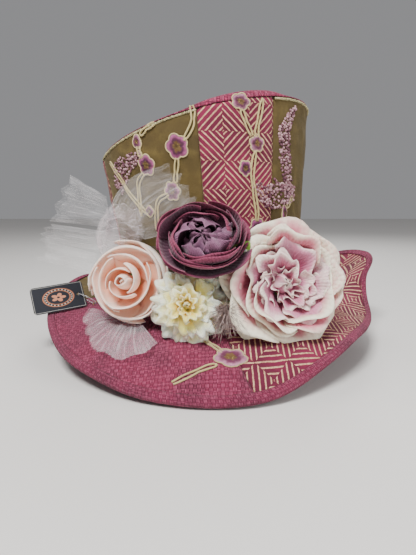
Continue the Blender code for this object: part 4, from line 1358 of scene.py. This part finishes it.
def build_fan():
    """Net that spreads from under the foam rose over the brim."""
    u = np.linspace(0, 1, 70)[:, None]
    v = np.linspace(0, 2, 150)[None, :]
    turned = np.where(v <= 1, v, 2 - v)
    behind = np.clip(v - 1, 0, 1)
    crisp = saw(turned * 2.3 + 0.3 * u) * 0.5 + saw(turned * 5.1 - 0.3 * u + 0.5) * 0.2
    crisp = crisp + ripple(u * 0.05, turned * 0.06, 0.03, 8) * 0.6
    end = np.interp(turned, [0, 0.12, 0.30, 0.55, 0.80, 1], [0.56, 0.64, 0.70, 0.82, 0.74, 0.54])
    end = end + 0.020 * saw(turned * 5) + 0.006 * saw(turned * 41) - 0.03 * behind
    azimuth = np.interp(turned, [0, 1], [-64, -20]) * u + (-46 + 12 * turned) * (1 - u)
    share = FAN_ROOT + (end - FAN_ROOT) * u
    lift = 0.0045 + 0.0045 * np.sin(np.pi * u * 0.8) + (0.0018 + 0.0026 * u) * crisp - 0.0012 * behind
    uv = np.stack(np.broadcast_arrays(u * FAN_LENGTH, v * 0.06), axis=-1)
    made = add_mesh("net_fan", on_brim(azimuth, share, lift), grid_faces(*uv.shape[:2]), "tulle_pink", uv)
    declare_net(made, "tulle_brim_fan")


def build_feather():
    """Down between the carnation and the garden rose: many fine curved barbs from one root."""
    tubes = Tubes()
    for _ in range(BARBS):
        heading = unit(draw.uniform((-0.6, -0.9, -1.0), (0.5, -0.25, 0.6)))
        bend = draw.uniform(-0.5, 0.5, 3)
        length = draw.uniform(0.012, 0.022)
        steps = np.linspace(0, 1, 6)[:, None]
        start = FEATHER_ROOT + draw.uniform(-0.002, 0.002, 3)
        line = start + heading * length * steps + bend * length * 0.5 * steps**2
        line[:, 2] -= 0.003 * steps[:, 0] ** 2
        tubes.add(line, np.linspace(0.00035, 0.00010, 6), sides=4)
    finishing(tubes.make("feather_down", "feather"), "hat", "feather", "feather_tuft")


def build_leaf():
    s = np.linspace(0, 1, 17)[:, None]
    t = np.linspace(-1, 1, 11)[None, :]
    base, end = np.array(LEAF_FOOT), np.array(LEAF_END)
    ahead = unit(end - base)
    out = unit(np.array([0.15, -0.95, 0.25]))
    side = unit(np.cross(out, ahead))
    width = 0.0072 * np.sin(np.pi * np.clip(s * 0.92 + 0.06, 0, 1)) ** 0.75
    lift = 0.0014 * np.abs(t) + 0.0018 * np.sin(np.pi * s) + 0.0004 * np.sin(t * 9 + s * 14)
    points = base + (end - base) * s[..., None] + side * (width * t)[..., None] + out * lift[..., None]
    uv = np.stack(np.broadcast_arrays(s, t), axis=-1)
    made = add_mesh("rose_leaf", points, grid_faces(*uv.shape[:2]), "leaf", uv)
    thicken(made, 0.0005, 0.0)
    finishing(made, "hat", "leaf", "leaf")


# The swing tag.


def build_tag():
    facing = unit(np.array(TAG_FACING))
    along = unit(np.array(TAG_ALONG))
    along = unit(along - facing * np.dot(along, facing))
    upright = np.cross(facing, along)
    outline = []
    for quarter, (side, end) in enumerate(((1, 1), (-1, 1), (-1, -1), (1, -1))):
        for turn in np.linspace(quarter, quarter + 1, 9) * np.pi / 2:
            outline.append((side * (TAG_WIDTH / 2 - TAG_CORNER) + TAG_CORNER * np.cos(turn),
                            end * (TAG_HEIGHT / 2 - TAG_CORNER) + TAG_CORNER * np.sin(turn)))
    outline = np.array(outline)
    count = len(outline)
    hole = np.array([TAG_WIDTH / 2 - TAG_HOLE_INSET, 0])
    angles = np.arctan2(outline[:, 1], outline[:, 0] - hole[0])
    rim = hole + TAG_HOLE_RADIUS * np.stack([np.cos(angles), np.sin(angles)], axis=-1)
    half = TAG_THICKNESS / 2
    points, uv, faces = [], [], []
    loops = ((rim, half), (outline, half * 0.7), (outline, -half * 0.7), (rim, -half))
    for ring, (loop, level) in enumerate(loops):
        points += [TAG_HOLE + along * (x - hole[0]) + upright * y + facing * level for x, y in loop]
        uv += loop.tolist()
        a, b = ring * count, (ring + 1) % 4 * count
        faces += [[a + i, b + i, b + (i + 1) % count, a + (i + 1) % count] for i in range(count)]
    made = add_mesh("printed_tag", points, faces, "card", uv, smooth=False)
    finishing(made, "tag", "card", "swing_tag")


SLOT_OF = {part["node"]: part["material_slot"] for part in frame["record"]["subparts"]}


def dress_cad_nodes():
    """Gives every CAD node that still shows its finish. Only the stems are left of the leaf slot."""
    for node, made in frame["nodes"].items():
        if made.hide_render:
            continue
        slot = SLOT_OF[node]
        made.data.materials.clear()
        made.data.materials.append(MATERIALS["stem_green" if slot == "leaf" else slot])


# The room: the floor's half size and its drop below the hat, and lamps as (place, target, size, power).
FLOOR_HALF = 3.0
FLOOR_DROP = 0.0005
SKY = (0.62, 0.62, 0.64, 1)
SKY_STRENGTH = 0.45
LAMPS = {
    "key": ((-0.25, -0.75, 1.05), (0, -0.08, 0.06), 0.40, 26),
    "fill": ((0.95, -0.70, 0.45), (0, -0.05, 0.06), 0.8, 7),
    "back": ((0.25, 0.9, 0.9), (0, 0, 0.1), 0.7, 9),
}
CAMERA_PLACE = (-0.0069, -0.5057, 0.1105)
CAMERA_AIM = (0, 0.98481, -0.17365)
LENS = 29.19
SENSOR = 36


def aim(made, place, direction):
    made.location = place
    made.rotation_euler = Vector(direction).to_track_quat("-Z", "Y").to_euler()


def build_room():
    level = cad_box[0].z - FLOOR_DROP
    corners = [(x * FLOOR_HALF, y * FLOOR_HALF, level) for x, y in ((-1, -1), (1, -1), (1, 1), (-1, 1))]
    Finish("pale_floor", 0.8).paint("D9D6D2")
    add_mesh("floor", corners, [(0, 1, 2, 3)], "pale_floor", smooth=False)

    world = bpy.data.worlds.new("studio")
    world.use_nodes = True
    colour, strength = world.node_tree.nodes["Background"].inputs[:2]
    colour.default_value, strength.default_value = SKY, SKY_STRENGTH
    bpy.context.scene.world = world

    for name, (place, target, size, power) in LAMPS.items():
        lamp = bpy.data.lights.new(name, "AREA")
        lamp.energy, lamp.size = power, size
        aim(link(name, lamp), place, Vector(target) - Vector(place))


def build_camera():
    lens = bpy.data.cameras.new("camera")
    lens.sensor_width, lens.lens = SENSOR, LENS
    camera = link("camera", lens)
    aim(camera, CAMERA_PLACE, CAMERA_AIM)
    bpy.context.scene.camera = camera


make_materials()
build_crown()
build_brim()
build_garden_rose()
build_peony()
build_foam_rose()
build_carnation()
build_lace()
build_velvet_edge_sheen()
build_tulle()
build_feather()
build_leaf()
build_tag()
dress_cad_nodes()
build_room()
build_camera()
